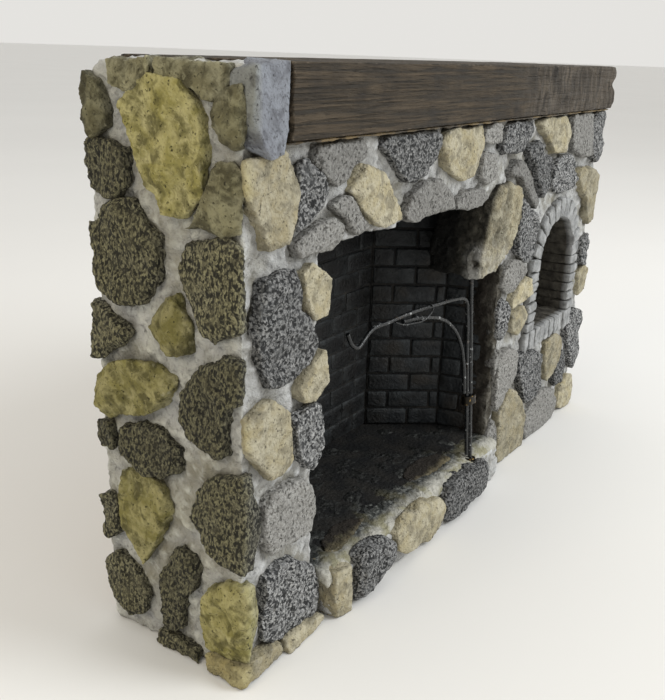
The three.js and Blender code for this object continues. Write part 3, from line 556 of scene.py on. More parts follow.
crust = add_block("hearth_crust", at(33.5, -3.4, 13.2), at(149.5, 43, 16.8))
remesh(crust, 0.0008)
soften(crust, 4)
lump(crust, 0.006, 0.0024)
lump(crust, 0.002, 0.0011)
apply_modifiers(crust)
fall_start, fall_run, fall = at(0, 4, 0).y, 0.007, 0.0016
for vertex in crust.data.vertices:
    forward = min(max((fall_start - vertex.co.y) / fall_run, 0), 1)
    vertex.co.z -= fall * forward * forward
give(crust, trowelled)
in_the_surround(crust, "hearth_floor")
give(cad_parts["firebox_floor"], soot)


# ---- Wood niche ---------------------------------------------------------------------
# An arched niche for firewood. Pale bricks ring its mouth, and the same bricks run back
# along its sides, painted dark brown past the mouth as painted shadow, with painted shade
# in their joints.

niche_left, niche_right, niche_sill, niche_top, niche_back = 184, 222, 50, 93, 22
niche_ring, niche_rng = 8, random.Random(5)
niche_brick = Finish("niche_brick", roughness=0.92, specular=0.2)
pale_brick = niche_brick.over((0.2, 0.204, 0.205), (0.38, 0.385, 0.385), niche_brick.grain(0.004, 0.35, 0.65))
dusty_brick = niche_brick.over(pale_brick, (0.26, 0.26, 0.25), niche_brick.grain(0.0017, 0.54, 0.74))
# Painted shade in the joints between the niche bricks.
shaded_niche_joints = niche_brick.over((0.12, 0.118, 0.11), dusty_brick, niche_brick.crevice_shade(0.002, 0.2, 0.7))
# Painted shadow: the bricks deeper than the niche's mouth are painted dark brown.
niche_inner_shadow = niche_brick.over((0.034, 0.031, 0.026), (0.085, 0.078, 0.064),
                               niche_brick.grain(0.003, 0.35, 0.65))
niche_brick.paint(niche_brick.over(shaded_niche_joints, niche_inner_shadow, into_wall(niche_brick, 0.8, 3.2)))
niche_brick.relief(niche_brick.grain(0.0011, 0.3, 0.7, detail=6), 0.0003)


def niche_block(length, height, depth, place):
    """A brick with full, rounded faces, in its place."""
    brick = one_brick(length, height, depth, "niche_brick")
    swell = brick.modifiers.new("swell", "CAST")
    swell.factor = 0.12
    apply_modifiers(brick)
    brick.data.transform(place)
    return brick


niche_bricks, niche_joint = [], 0.5
niche_centre, niche_radius = (niche_left + niche_right) / 2, (niche_right - niche_left) / 2
ring_middle = niche_radius + niche_ring / 2
spring = niche_top - niche_radius
jamb_rows, arch_bricks, sill_bricks = 6, 13, 10
jamb_height = (spring - niche_sill) / jamb_rows
for row in range(jamb_rows):
    for side in (-1, 1):
        centre = niche_centre + side * (ring_middle - niche_rng.uniform(0.2, 0.8))
        place = Matrix.Translation(at(centre, niche_back / 2 - niche_rng.uniform(0, 0.5),
                                      niche_sill + (row + 0.5) * jamb_height))
        niche_bricks.append(niche_block(niche_ring, jamb_height - niche_joint, niche_back, place))
for i in range(arch_bricks):
    turn = math.pi * (i + 0.5) / arch_bricks
    reach = ring_middle - niche_rng.uniform(0.2, 0.6)
    place = Matrix.Translation(at(niche_centre + reach * math.cos(turn),
                                  niche_back / 2 - niche_rng.uniform(0, 0.5),
                                  spring + reach * math.sin(turn)))
    niche_bricks.append(niche_block(niche_ring, math.pi * reach / arch_bricks - niche_joint, niche_back,
                                    place @ Matrix.Rotation(-turn, 4, "Y")))
sill_pitch = (niche_right - niche_left + 2 * niche_ring) / sill_bricks
for i in range(sill_bricks):
    place = Matrix.Translation(at(niche_left - niche_ring + (i + 0.5) * sill_pitch,
                                  niche_back / 2 - niche_rng.uniform(0, 0.5), niche_sill - niche_ring / 2))
    niche_bricks.append(niche_block(sill_pitch - niche_joint, niche_ring, niche_back, place))
arch = join_all("niche_brick_surround", niche_bricks)
finer = arch.modifiers.new("finer", "SUBSURF")
finer.levels = finer.render_levels = 1
lump(arch, 0.004, 0.0012)
lump(arch, 0.0014, 0.0004)
apply_modifiers(arch)
smooth(arch, 60)
give(arch, niche_brick)
in_the_surround(arch, "niche_brick", "niche_brick_arch")

bed_rim = niche_ring - 0.6
niche_bed = arch_solid("niche_bed", niche_left - bed_rim, niche_right + bed_rim,
                       niche_sill - bed_rim, niche_top + bed_rim, 1.6, niche_back + 1)
cut_out(niche_bed, arch_solid("niche_hollow", niche_left - 0.6, niche_right + 0.6, niche_sill - 0.5,
                              niche_top + 0.6, -2, niche_back + 2))
arris = niche_bed.modifiers.new("arris", "BEVEL")
arris.width = 0.0003
apply_modifiers(niche_bed)
smooth(niche_bed)
give(niche_bed, niche_brick)
in_the_surround(niche_bed, "niche_brick")

back_line = [((niche_left - 1.5, niche_back), (niche_right + 1.5, niche_back))]
niche_wall = lay_wall("niche_back_bricks", back_line, niche_sill - 1, niche_top + 1, 0.5, brick_joint,
                      niche_rng, lay=jamb_height, long=13, thick=2)
give(niche_wall, niche_brick)
in_the_surround(niche_wall, "niche_lining")
give(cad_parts["niche_lining"], niche_brick)


# ---- Field stones -------------------------------------------------------------------
# Split field stones are bedded in the mortar with their rough faces out. Each is chipped
# to a few flat facets, then pitted, and painted: black stippled grey, plain grey, cream
# with ochre, or olive where the side is in shade. The left side's brown and yellow stones
# are the dark and cream paints made browner and yellower, as painted shade and warm light.

stone_voxel, stone_growth = 0.00052, 0.00062
stone_rng = random.Random(7)


def chip_to_shape(piece, lumps, facets, pits, grow=stone_growth):
    """Rough facets, then the pitted skin of split stone."""
    swell = piece.modifiers.new("swell", "DISPLACE")
    swell.strength = grow
    swell.mid_level = 0
    remesh(piece, 0.0008)
    lump(piece, 0.007, lumps)
    flats = piece.modifiers.new("facets", "DECIMATE")
    flats.ratio = facets
    remesh(piece, stone_voxel)
    soften(piece, 1)
    lump(piece, 0.0019, pits)
    lump(piece, 0.0008, pits * 0.45)
    apply_modifiers(piece)
    keep_off_ground(piece)


def set_tint(piece, shade):
    attribute = piece.data.attributes.new("tint", "FLOAT", "POINT")
    attribute.data.foreach_set("value", [shade] * len(piece.data.vertices))


def stone_relief(finish, fine):
    finish.relief(finish.grain(0.0011, 0.25, 0.75, detail=8), fine)
    finish.relief(finish.pits(0.0009, 0.05, 0.5), fine * 0.5)


def finished_stone(finish, colour, rim=(0.13, 0.12, 0.095)):
    """Painted shade round the stone's foot, its own tint, and painted warm light or soot by place."""
    foot_shade = finish.over(rim, colour, finish.crevice_shade(0.0022, 0.12, 0.5))
    shaded = finish.shade(foot_shade, finish.tint(), 0.72, 1.22)
    finish.paint(sooted(finish, warm_light_on_left(finish, shaded, 0.9)))


def dark_finish(name, pale, middle, black, size, cover, stretch=None):
    """Stone stippled black over two greys; cover is how much of it is black."""
    finish = Finish(name, roughness=0.82, specular=0.35)
    ground = finish.over(middle, pale, finish.grain(
        0.8 * size, 0.44, 0.6, detail=6, stretch=stretch, twist=0.8))
    stipple = finish.grain(size, cover - 0.04, cover + 0.04, detail=7, stretch=stretch)
    stippled = finish.over(ground, black, stipple)
    patchy = finish.over(stippled, middle, finish.both(finish.grain(0.006, 0.52, 0.7), 0.4))
    dusted = finish.over(patchy, (0.3, 0.3, 0.28), finish.both(
        finish.worn_edges(0.55, 0.68), finish.grain(0.0016, 0.45, 0.62)))
    finished_stone(finish, dusted)
    stone_relief(finish, 0.00045)
    return finish


def cream_finish(name, pale, warm, dark):
    """Stone washed with a warm tone and a dark one, with its edges dusted pale."""
    finish = Finish(name, roughness=0.88, specular=0.3)
    base = finish.over(pale, warm, finish.grain(0.006, 0.4, 0.6, detail=6, twist=0.8))
    washed = finish.over(base, dark, finish.both(finish.grain(0.0042, 0.47, 0.62, detail=9, twist=0.5), 0.85))
    broken = finish.over(washed, pale, finish.both(
        finish.grain(0.0016, 0.54, 0.66, detail=8, twist=0.7), 0.6))
    pitted = finish.over(broken, tuple(0.5 * c for c in dark), finish.grain(0.0009, 0.6, 0.7, detail=6))
    hollow = finish.over(tuple(0.62 * c for c in warm), pitted, finish.worn_edges(0.44, 0.5))
    dusted = finish.over(hollow, (0.5, 0.5, 0.47), finish.both(
        finish.worn_edges(0.54, 0.66), finish.grain(0.003, 0.4, 0.65)))
    finished_stone(finish, dusted)
    stone_relief(finish, 0.0004)
    return finish


finishes = {
    "dark": (dark_finish("dark_stone", (0.34, 0.34, 0.335), (0.13, 0.132, 0.132), (0.019, 0.02, 0.021),
                         0.0009, 0.52), "dark_stone"),
    # Painted shade and warm light: the dark paint made browner and darker for the left side.
    "brown": (dark_finish("shade_side_brown_stone", (0.205, 0.2, 0.156), (0.085, 0.081, 0.064), (0.016, 0.0155, 0.012),
                          0.00072, 0.51, (1, 1, 0.6)), "dark_stone"),
    "grey": (dark_finish("grey_stone", (0.3, 0.296, 0.28), (0.195, 0.19, 0.178), (0.07, 0.068, 0.062),
                         0.001, 0.58), "grey_stone"),
    "cream": (cream_finish("cream_stone", (0.44, 0.405, 0.3), (0.36, 0.315, 0.2), (0.21, 0.19, 0.135)),
              "cream_stone"),
    # Painted warm light: the cream paint made yellower for the left side.
    "yellow": (cream_finish("warm_lit_yellow_stone", (0.35, 0.33, 0.205), (0.215, 0.2, 0.086), (0.08, 0.074, 0.032)),
               "cream_stone"),
    # Painted shade: a darker olive cream for the left side.
    "olive": (cream_finish("olive_stone", (0.24, 0.235, 0.19), (0.14, 0.132, 0.095), (0.05, 0.046, 0.03)),
              "olive_stone"),
    "hearth": (cream_finish("hearth_stone", (0.27, 0.235, 0.14), (0.16, 0.13, 0.07), (0.05, 0.045, 0.026)),
               "olive_stone"),
    "blue": (cream_finish("blue_stone", (0.31, 0.33, 0.37), (0.27, 0.285, 0.32), (0.15, 0.155, 0.175)),
             "grey_stone"),
}


def dress(piece, tone):
    """Paints a stone, each a shade of its own, and sets it in the wall."""
    finish, slot = finishes[tone]
    give(piece, finish)
    set_tint(piece, stone_rng.random())
    in_the_surround(piece, slot)


def stone_like(node, name):
    """A new stone with the shape and place of a CAD stone."""
    piece = bpy.data.objects.new(name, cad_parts[node].data.copy())
    bpy.context.collection.objects.link(piece)
    start_on(piece)
    bpy.ops.object.mode_set(mode="EDIT")
    bpy.ops.mesh.select_all(action="SELECT")
    bpy.ops.mesh.remove_doubles(threshold=0.000001)
    bpy.ops.object.mode_set(mode="OBJECT")
    return piece


# How deep each tone is lumped, how few its facets are, and how deep it is pitted: rough
# dark and olive stones most, while cream ones keep broad clean facets.
chipping = {
    "dark": (0.0028, 0.022, 0.0011), "brown": (0.0032, 0.022, 0.0013), "grey": (0.002, 0.02, 0.0006),
    "cream": (0.003, 0.013, 0.0006), "yellow": (0.004, 0.013, 0.0009), "olive": (0.0034, 0.02, 0.0009),
    "blue": (0.0016, 0.012, 0.0004),
}

larger_stones = {
    "front_stone": {"upper_corner": "cream", "under_beam": "grey", "slanted": "cream",
        "lintel_dark": "dark", "lintel_cream": "cream", "lintel_speckled": "dark", "band": "grey",
        "right_cream": "cream", "right_speckled": "dark", "right_grey": "grey", "right_shoulder": "cream",
        "left_large": "dark", "left_cream": "cream", "left_grey": "grey"},
    "side_stone": {"top_back": "olive", "upper_back": "brown", "large_dark": "brown",
        "large_yellow": "yellow", "folded": "olive", "top_front": "olive", "front_dark": "brown",
        "middle_yellow": "yellow", "back_dark": "brown", "back_yellow": "yellow", "low_dark": "brown",
        "front_brown": "brown", "lower_yellow": "yellow", "foot_back": "brown", "foot_middle": "brown"},
    "corner_stone": {"upper": "brown", "lower": "yellow"},
    "hearth_stone": {"left": "dark", "middle": "cream", "crane_foot": "dark"},
}
roomier = {"hearth_stone_left": 0.0014, "corner_stone_lower": 0.0011, "side_stone_large_dark": 0.001}
for place, tones in larger_stones.items():
    for stone, tone in tones.items():
        node = f"{place}_{stone}"
        piece = stone_like(node, f"{node}_rock")
        chip_to_shape(piece, *chipping[tone], grow=roomier.get(node, stone_growth))
        dress(piece, tone)
        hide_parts(node)

# A tall blue-grey stone closes the left end of the beam, flush with the beam's face.
end_stone = slab("beam_end_rock", "front", [
    (0.9, 148), (2, 150), (7, 150.8), (12.6, 150.6), (13, 143), (13.2, 137), (10.8, 132), (7, 131),
    (3.4, 133.6), (1.2, 139)], -2.1, 5)
chip_to_shape(end_stone, *chipping["blue"], grow=0.0004)
dress(end_stone, "blue")
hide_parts("front_stone_beam_end")

# The corner's foot is one thick wedge, as high as a finger of mortar.
foot_stone = slab("corner_foot_rock", "front", [
    (-1.6, 0.3), (-1.8, 5), (1, 6), (8, 6.2), (14.6, 5), (15.2, 0.3)], -1.6, 11)
chip_to_shape(foot_stone, 0.0022, 0.02, 0.0006, grow=0.0003)
dress(foot_stone, "cream")
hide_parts("corner_stone_foot")

# Two flat stones are let into the hearth crust, browned by the fire.
floor_stones = [
    [(40, 2.6), (46, 7.2), (54.7, 9.7), (62.2, 7.9), (64.6, 4.7), (55.5, 2.7), (46, 1.4)],
    [(97.6, 9.1), (94.7, 5.5), (104.2, 3.2), (120.7, 2.6), (123.8, 7), (113.1, 10.8), (103, 11)],
]
for number, outline in enumerate(floor_stones, 1):
    piece = slab(f"floor_stone_{number}", "floor", outline, 0.6, 3.5)
    chip_to_shape(piece, 0.0016, 0.02, 0.0008)
    dress(piece, "hearth")

# The small stones of each face: tone, outline across and up, and sometimes how proud it
# is, in millimetres.
small_front_stones = [
    ("dark", [(20.4, 126.6), (22, 129), (25, 128.5), (29, 125), (33, 120.5), (30, 118), (25, 115.4),
        (20, 113.4)]),
    ("grey", [(20.5, 109.5), (24, 111.4), (29, 113.4), (35.6, 114), (40.6, 111.6), (41, 109), (36, 107),
        (22, 107)]),
    ("grey", [(34.4, 117.5), (38, 118.6), (42.4, 118.4), (49.4, 112.4), (54, 109), (46, 108.6), (43, 112.6),
        (37, 116)]),
    ("grey", [(75.6, 115), (80, 117.4), (85, 118.6), (90, 118.4), (96, 116), (101, 112.4), (103, 109),
        (78, 107.6), (72, 110)]),
    ("grey", [(121.6, 127.4), (123, 131), (128, 132.6), (133, 132.4), (135.6, 129), (136, 126.2),
        (130, 126.6), (124, 126.6)]),
    ("grey", [(122, 123), (124, 124.4), (130, 122.6), (133.6, 119), (133.6, 114.6), (128, 113), (124, 114.6),
        (121.4, 117)]),
    ("grey", [(105, 108.2), (106, 110.8), (110, 112.6), (118, 112.6), (126, 111.6), (130, 108.6),
        (124, 107.6), (112, 107.6)]),
    ("dark", [(159.6, 104), (162.6, 105), (167, 101), (173.6, 97), (177.4, 93), (178, 88), (174, 82.6),
        (170, 80), (165, 81.6), (159.6, 86.6), (158.6, 94)]),
    ("dark", [(230.6, 131), (234, 132.6), (240, 132.6), (244.4, 129.4), (245, 122), (245, 112.6),
        (237, 112.4), (233.4, 115.6), (232.4, 120), (230, 125)]),
    ("dark", [(187.6, 113), (191, 115.4), (198, 117.4), (204, 116.6), (212, 113.6), (216.4, 107),
        (212, 103.6), (204, 102.6), (194, 103.6), (187.6, 107)]),
    ("dark", [(236, 79), (240, 81), (245, 77), (244, 71.6), (240, 67.4), (234.6, 68.4)]),
    ("cream", [(234, 64), (240, 66.6), (245, 64.4), (245, 57), (243, 52.6), (235.6, 54.4)]),
    ("dark", [(226.6, 40), (229, 42.4), (237, 47), (243, 45), (245, 38), (245, 16), (240, 19), (236, 25),
        (230.6, 33)]),
    ("cream", [(201.4, 39.6), (207, 41.4), (216, 40), (222.6, 36), (222.4, 32.6), (218.6, 27), (214.6, 22),
        (208.6, 21.4), (205.4, 27.4), (202.6, 34)]),
    ("dark", [(171.4, 41.6), (176, 43), (184, 40.4), (192, 39.2), (197.8, 35.8), (199.6, 29), (198.6, 22),
        (194, 17.4), (187, 17.4), (182.2, 21.4), (178.4, 28.2), (174.4, 34.2)]),
    ("grey", [(150.6, 45), (153.4, 48), (160, 48), (168, 46), (171.4, 40), (172.4, 35.4), (167, 31.6),
        (160, 28), (154, 25), (151, 29), (151, 36)]),
    ("cream", [(156.6, 22.6), (162, 26), (168, 30), (174, 26.6), (179.8, 19.8), (183.6, 12), (185.4, 4),
        (184, 0.4), (160.4, 0.4), (157.6, 5), (157.4, 13)]),
    ("grey", [(146, 13), (149, 19.6), (152, 21.6), (155.6, 18), (156.6, 11), (154, 5.6), (149, 6.4)]),
    ("dark", [(222.4, 31.6), (225, 30.8), (227, 26.8), (229.6, 22), (226, 18.4), (222, 15.4), (217.4, 18.4),
        (217.4, 22), (220.4, 27)]),
    ("grey", [(187, 13.6), (196, 16.8), (203, 18.8), (212, 16.8), (219.8, 13.8), (223.4, 8), (223.6, 2),
        (218, 0.4), (190, 0.4), (186.4, 5)]),
    ("cream", [(226.6, 8.2), (230.2, 14.2), (236, 16.8), (241, 15.2), (245, 9), (245, 0.4), (232, 0.4),
        (227.4, 3)]),
    ("grey", [(148.6, 80), (154, 83), (161, 81.8), (168, 79), (171.6, 76), (166, 73.6), (158, 71.4),
        (151, 71.6), (148, 75)]),
    ("cream", [(157.4, 68.2), (163, 70.8), (172, 73.6), (176.6, 72.6), (176.8, 66.4), (172, 64.6),
        (160.2, 64.4)]),
    ("cream", [(161.2, 61.8), (168, 62.8), (175.6, 61.8), (176.2, 57), (173.6, 53.2), (168, 51.6),
        (162.2, 54.4), (160.2, 58)]),
    ("dark", [(147, 66), (149.6, 69), (153, 68.6), (156.6, 65.6), (155.6, 57), (152, 53.6), (148.4, 55.4),
        (147, 60)]),
    ("grey", [(147, 46), (148.6, 49), (151.6, 50.4), (153.4, 48.6), (150.4, 43), (148.4, 40.6)]),
    ("cream", [(22.2, 102.8), (28, 104.3), (32.6, 101.8), (34.4, 98), (35, 92), (33.4, 88.8), (28.4, 90.6),
        (25.4, 93.6), (24.4, 98)]),
    ("cream", [(21.6, 73), (24, 75.8), (29, 79.6), (33.6, 80.6), (34.6, 76), (34.8, 72.4), (32.6, 69.8),
        (28, 68.4), (24.3, 69.2)]),
    ("dark", [(20.4, 65.6), (25, 67), (31, 67.4), (33.6, 65), (33.6, 60), (32.8, 54), (31.8, 50.4),
        (29.8, 48.6), (26.2, 50.6), (23.2, 55.4)]),
    ("dark", [(10, 25.8), (16, 27), (21, 25.8), (25, 21.8), (31, 19.6), (33.8, 14), (34.6, 6), (33.6, 3),
        (25, 3.6), (16, 4.4), (9.2, 6.8), (8.2, 12), (9.2, 20)]),
    ("cream", [(35.6, 14.6), (38, 16), (43, 15), (45, 11), (44.8, 3), (43.6, 0.3), (37.4, 0.3),
        (35.6, 5)], 4.4),
    ("cream", [(16.6, 4.4), (26, 4.2), (34, 3.4), (35.4, 0.3), (16.6, 0.3)], 2.2),
]
small_left_stones = [
    ("brown", [(48.6, 53), (48.6, 60), (44.4, 60.6), (43.4, 53)]),
    ("brown", [(48.8, 38.8), (46, 39.6), (43, 37), (42.8, 30.2), (47, 25.4), (48.8, 27)]),
    ("brown", [(29, 0.5), (28, 4.3), (22, 3.9), (16, 3.1), (15, 0.5)]),
    ("olive", [(38, 144.5), (40, 150), (27, 150.2), (27.6, 146.5), (33, 143.4)]),
    ("olive", [(24, 146.6), (24.6, 150.2), (4, 150.2), (5.4, 143.6), (10, 141.6), (15, 145.4)]),
]
small_right_stones = [
    ("dark", [(3, 130), (10, 132), (20, 131), (26, 127), (24, 119), (14, 116), (5, 121)]),
    ("cream", [(29, 131), (44, 131), (48, 122), (43, 115), (31, 117), (27.4, 124)]),
    ("cream", [(5, 111), (18, 113), (26, 108), (24, 98), (13, 95), (5, 100)]),
    ("grey", [(29, 112), (41, 111), (48, 104), (45, 94), (34, 91), (28, 100)]),
    ("dark", [(5, 90), (17, 92), (27, 87), (28, 76), (17, 71), (6, 76)]),
    ("cream", [(31, 87), (44, 89), (48, 76), (40, 69), (31, 74)]),
    ("cream", [(4, 67), (15, 68), (21, 62), (19, 51), (10, 48), (4, 55)]),
    ("dark", [(24, 69), (36, 66), (45, 61), (41, 50), (28, 49), (22, 57)]),
    ("dark", [(4, 43), (19, 46), (30, 44), (30, 34), (19, 28), (6, 31)]),
    ("grey", [(34, 45), (47, 46), (48, 33), (39, 27), (33, 34)]),
    ("cream", [(4, 25), (17, 25), (24, 20), (23, 9), (13, 3), (4, 8)]),
    ("dark", [(28, 25), (39, 23), (48, 17), (45, 6), (33, 3), (27, 12)]),
]
small_stones = {"front": small_front_stones, "left": small_left_stones, "right": small_right_stones}
number = 0
for face, stones in small_stones.items():
    for tone, outline, *proud in stones:
        number += 1
        piece = slab(f"{face}_small_stone_{number:02d}", face, outline, -proud[0] if proud else 0.1, 4.6)
        chip_to_shape(piece, *chipping[tone])
        dress(piece, tone)


# ---- Corbel stone and jamb rubble ---------------------------------------------------
# A cream stone hangs over the right of the opening and holds the top of the crane's rod.
# Below it the jamb is rough mortar and rubble, browned by the fire.

corbel = stone_like("corbel_stone", "corbel_rock")
chip_to_shape(corbel, 0.0018, 0.05, 0.0014, grow=0.0001)
flaky = cream_finish("corbel_stone", (0.42, 0.39, 0.29), (0.33, 0.29, 0.19), (0.16, 0.14, 0.09))
flaky_paint = flaky.shader.inputs["Base Color"].links[0].from_socket
burnt = flaky.over((0.022, 0.02, 0.015), (0.105, 0.097, 0.076), flaky.grain(0.003, 0.42, 0.68, detail=7))
low_edge = flaky.both(flaky.along("Z", 0.094, 0.088), into_wall(flaky, 8, 3))
smeared = flaky.over(burnt, (0.38, 0.375, 0.35), flaky.both(low_edge, flaky.grain(0.004, 0.3, 0.55)))
blackened = flaky.over(smeared, (0.006, 0.006, 0.005), into_wall(flaky, 4, 13))
fire_side = flaky.both(into_wall(flaky, -0.9, 1.2), across_wall(flaky, 151, 145))
flaky.paint(flaky.over(flaky_paint, blackened, fire_side))
give(corbel, flaky)
set_tint(corbel, 0.5)
in_the_surround(corbel, "cream_stone", "corbel_stone")

jamb = slab("jamb_rubble", "front", [
    (146.6, 17), (151.5, 17), (151.5, 82), (147.6, 82), (146.4, 66), (147.8, 50)], 1.6, 20)
remesh(jamb, 0.0006)
lump(jamb, 0.005, 0.0026)
lump(jamb, 0.0017, 0.001)
apply_modifiers(jamb)
rubble = cream_finish("jamb_rubble", (0.16, 0.15, 0.125), (0.085, 0.076, 0.058), (0.03, 0.027, 0.02))
give(jamb, rubble)
set_tint(jamb, 0.5)
in_the_surround(jamb, "mortar")


# ---- Mantel beam --------------------------------------------------------------------
# One dark stained timber lies along the top. Its face is sawn with long grain on the
# left and hewn in short upright ripples on the right, and its right end is worn to waves.

beam_low, beam_high = (Vector(corner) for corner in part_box("mantel_beam"))
beam = add_block("hewn_beam", beam_low, beam_high)
remesh(beam, 0.00075)
apply_modifiers(beam)
beam_length = beam_high.x - beam_low.x
hewn_from, hewn_blend = 0.52, 0.12
face_depth, top_depth, worn_end = 0.004, 0.002, 0.012
for vertex in beam.data.vertices:
    place = vertex.co
    share = (place.x - beam_low.x) / beam_length
    hewn = min(max((share - hewn_from) / hewn_blend, 0), 1)
    grain = noise.noise((place.x * 28, place.y * 300, place.z * 430))
    knots = noise.noise((place.x * 70, place.y * 90, place.z * 160))
    cuts = abs(math.sin(place.x * 430 + 3 * noise.noise((place.x * 60, 0, place.z * 120))))
    cuts *= 0.5 + 0.5 * noise.noise((place.x * 90, 3, place.z * 200))
    front = min(max((beam_low.y + face_depth - place.y) / face_depth, 0), 1)
    top = min(max((place.z - beam_high.z + top_depth) / top_depth, 0), 1)
    place.y += front * (0.0004 * (1 - hewn) * grain + 0.0005 * knots + 0.0011 * hewn * cuts)
    place.z -= top * (0.0003 * abs(grain) + 0.0002)
    end = min(max((place.x - beam_high.x + worn_end) / worn_end, 0), 1)
    rise = (place.z - beam_low.z) / (beam_high.z - beam_low.z)
    notch = math.exp(-((rise - 0.56) / 0.13) ** 2) + 0.5 * math.exp(-((rise - 1) / 0.1) ** 2)
    notch += 0.45 * math.exp(-((rise - 0.02) / 0.1) ** 2)
    place.x -= end * (0.006 * notch + 0.0006 * (1 + noise.noise((place.y * 200, place.z * 260, 1))))
soften(beam, 1)
apply_modifiers(beam)

wood = Finish("stained_wood", roughness=0.7, specular=0.2)
long_grain = wood.grain(0.0009, 0.38, 0.62, detail=6, stretch=(0.03, 0.6, 1), twist=0.6)
wood_tone = wood.over((0.02, 0.015, 0.009), (0.075, 0.057, 0.038), long_grain)
hewn_tone = wood.over((0.035, 0.029, 0.023), (0.105, 0.087, 0.067),
                      wood.grain(0.0016, 0.35, 0.65, stretch=(1, 0.6, 0.14), twist=0.5))
hewn_side = across_wall(wood, 135, 165)
wood_both = wood.over(wood_tone, hewn_tone, hewn_side)
wood_grimy = wood.over(wood_both, (0.02, 0.017, 0.014), wood.grain(0.012, 0.5, 0.75))
wood_nicks = wood.over(wood_grimy, (0.3, 0.25, 0.19), wood.both(
    wood.worn_edges(0.53, 0.64), wood.grain(0.0018, 0.52, 0.6)))
wood.paint(wood_nicks)
wood.sheen(long_grain, 0.55, 0.8)
wood.relief(long_grain, 0.00035)
wood.relief(wood.grain(0.0009, 0.4, 0.6, stretch=(0.12, 1, 1)), 0.0002)
give(beam, wood)
in_the_surround(beam, "beam_wood", "mantel_beam")

glue_line = add_block("beam_glue_line", at(14, -1.2, 133.2), at(243, 3, 133.9))
remesh(glue_line, 0.0005)
lump(glue_line, 0.004, 0.0009)
apply_modifiers(glue_line)
glue = Finish("old_glue", roughness=0.5)
glue.paint(glue.over((0.21, 0.15, 0.07), (0.06, 0.047, 0.03), glue.grain(0.008, 0.42, 0.55)))
glue.relief(glue.grain(0.001, 0.3, 0.7), 0.0002)
give(glue_line, glue)
in_the_surround(glue_line, "mortar")


# ---- Pot crane ----------------------------------------------------------------------
# Black iron wire, bent by hand. The upright rod turns in the hearth stone and the corbel;
# the arm's leg stands beside it in a brass clip, and a bowed brace is lashed under the arm.

rod_foot, rod_top = at(128, -1.6, 14.3), at(129.3, 4.4, 81)
crane_way, crane_side = Vector((-0.9936, 0.113, 0)), Vector((-0.113, -0.9936, 0))


def in_crane(along, z, beside=0.0):
    """A place in the crane: out from the rod, up, and towards the room, in millimetres."""
    share = (z / 1000 - rod_foot.z) / (rod_top.z - rod_foot.z)
    return rod_foot.lerp(rod_top, share) + crane_way * along / 1000 + crane_side * beside / 1000


def bend_wire(name, places, thickness, node):
    """A round wire bent through these places."""
    curve = bpy.data.curves.new(name, "CURVE")
    curve.dimensions = "3D"
    curve.bevel_depth = thickness / 2000
    curve.bevel_resolution = 4
    curve.use_fill_caps = True
    curve.resolution_u = 8
    line = curve.splines.new("BEZIER")
    line.bezier_points.add(len(places) - 1)
    for point, place in zip(line.bezier_points, places):
        point.co = in_crane(*place)
        point.handle_left_type = point.handle_right_type = "AUTO"
    piece = bpy.data.objects.new(name, curve)
    bpy.context.collection.objects.link(piece)
    start_on(piece)
    bpy.ops.object.convert(target="MESH")
    piece = bpy.context.object
    start_on(piece)
    bpy.ops.object.mode_set(mode="EDIT")
    bpy.ops.mesh.select_all(action="SELECT")
    bpy.ops.mesh.remove_doubles(threshold=0.000001)
    bpy.ops.mesh.normals_make_consistent(inside=False)
    bpy.ops.object.mode_set(mode="OBJECT")
    lump(piece, 0.002, thickness * 0.00006)
    apply_modifiers(piece)
    smooth(piece, 60)
    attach(piece, "crane")
    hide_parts(node)
    return piece


iron = Finish("black_iron", roughness=0.35, specular=0.45)
iron_base = iron.over((0.004, 0.005, 0.0055), (0.016, 0.018, 0.02), iron.grain(0.0014, 0.5, 0.7))
iron_rust = iron.over(iron_base, (0.04, 0.024, 0.013), iron.grain(0.003, 0.64, 0.76))
# Painted glints: tiny pale specks on the black wire stand in for highlights.
iron.paint(iron.over(iron_rust, (0.3, 0.31, 0.31), iron.grain(0.00075, 0.64, 0.7, stretch=(0.5, 0.5, 0.5))))
iron.sheen(iron.grain(0.0009, 0.35, 0.65), 0.16, 0.42)
iron.relief(iron.grain(0.0008, 0.3, 0.7), 0.00008)

arm_height, hook_start, hook_width, hook_drop = 74.6, 55, 12.6, 3.9
arm_bends = [
    (2.3, -5), (2.8, -1.6), (4.5, -0.1), (8.3, 0.6), (20, 1.1), (36, 1.2), (48, 0.6), (hook_start + 1, 0),
    (hook_start + 5.2, -2.4), (hook_start + 7.8, -hook_drop), (hook_start + 10.4, -2.7),
    (hook_start + hook_width, 1.2)]
tie_bends = [(45, 0.2, 0.7), (42, -1, 1.1), (36, -1.8, 1.2), (31, -2, 1.25), (28, -1.3, 1.25),
             (26, -0.1, 1.25), (25, 1.2, 1.2), (25.2, 2.1, 0.5)]
wires = [
    bend_wire("pivot_rod_wire", [(0, 12.2), (0, 30), (0, 55), (0, 83)], 1.5, "crane_pivot_rod"),
    bend_wire("arm_wire", [(2.3, 17.6), (2.3, 30), (2.3, 50)] + [
        (along, arm_height + rise) for along, rise in arm_bends], 1.35, "crane_arm"),
    bend_wire("brace_wire", [
        (4.2, 41), (4.2, 47), (4.8, 53), (7.2, 60.5), (12.2, 66.6), (19.2, 70.6), (28.2, 72.8),
        (40.2, 73.9)], 1.35, "crane_brace"),
    bend_wire("tie_wire", [
        (along, arm_height + rise, beside) for along, rise, beside in tie_bends], 0.5, "crane_tie_wire"),
]
for wire in wires:
    give(wire, iron)

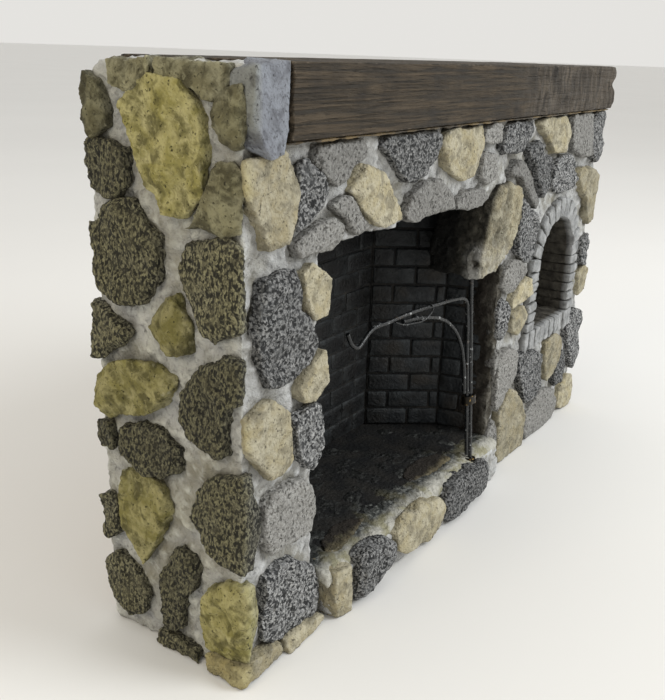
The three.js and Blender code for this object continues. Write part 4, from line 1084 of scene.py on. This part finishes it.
dull_brass = Finish("dull_brass", roughness=0.38, metallic=0.9)
brass_spots = dull_brass.grain(0.0012, 0.34, 0.44)
dull_brass.paint(dull_brass.over((0.38, 0.25, 0.09), (0.022, 0.019, 0.015), brass_spots))
dull_brass.relief(dull_brass.grain(0.0006, 0.3, 0.7), 0.00006)
for node, body in (("crane_clip", "crane"), ("crane_foot_ring", "surround")):
    band = stone_like(node, f"{node}_band")
    rounding = band.modifiers.new("round", "BEVEL")
    rounding.width = 0.00015
    rounding.segments = 2
    apply_modifiers(band)
    smooth(band)
    give(band, dull_brass)
    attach(band, body)
    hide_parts(node)


# ---- Studio -------------------------------------------------------------------------
# A plain pale floor, soft light from the front and a warmer lamp on the left, and the
# camera close to the left front corner, a little above the mantel.

bpy.ops.object.select_all(action="DESELECT")
bpy.ops.mesh.primitive_plane_add(size=60)
floor = bpy.context.object
floor.name = "studio_floor"
pale = Finish("studio_floor", roughness=0.7, specular=0.2)
pale.paint(pale.over((0.78, 0.775, 0.76), (0.8, 0.795, 0.78), pale.grain(0.3, 0.3, 0.7)))
give(floor, pale)

world = bpy.data.worlds.new("studio")
bpy.context.scene.world = world
world.use_nodes = True
background = world.node_tree.nodes["Background"].inputs
background["Color"].default_value = (1.0, 0.985, 0.95, 1)
background["Strength"].default_value = 0.78


def soft_light(name, place, aim, size, power, colour):
    light = bpy.data.lights.new(name, "AREA")
    light.shape = "DISK"
    light.size = size
    light.energy = power
    light.color = colour
    lamp = bpy.data.objects.new(name, light)
    bpy.context.collection.objects.link(lamp)
    lamp.location = place
    lamp.rotation_euler = (Vector(aim) - Vector(place)).to_track_quat("-Z", "Y").to_euler()


soft_light("window", (0.35, -0.9, 0.75), (0, 0, 0.07), 0.6, 9, (0.95, 0.98, 1.0))
soft_light("room_lamp", (-0.9, 0.1, 0.7), (-0.1, 0, 0.08), 0.5, 2.2, (1.0, 0.86, 0.62))

camera_heading, camera_down, camera_roll = 57.25, 18.5, 2.05
lens = bpy.data.cameras.new("camera")
lens.lens = 46.05
lens.sensor_width = 36
lens.clip_start = 0.01
camera = bpy.data.objects.new("camera", lens)
bpy.context.collection.objects.link(camera)
camera.matrix_world = (Matrix.Translation(at(-147.2, -118.1, 153.2))
                       @ Matrix.Rotation(math.radians(-camera_heading), 4, "Z")
                       @ Matrix.Rotation(math.radians(90 - camera_down), 4, "X")
                       @ Matrix.Rotation(math.radians(camera_roll), 4, "Z"))
bpy.context.scene.camera = camera
bpy.context.scene.view_settings.view_transform = "Standard"
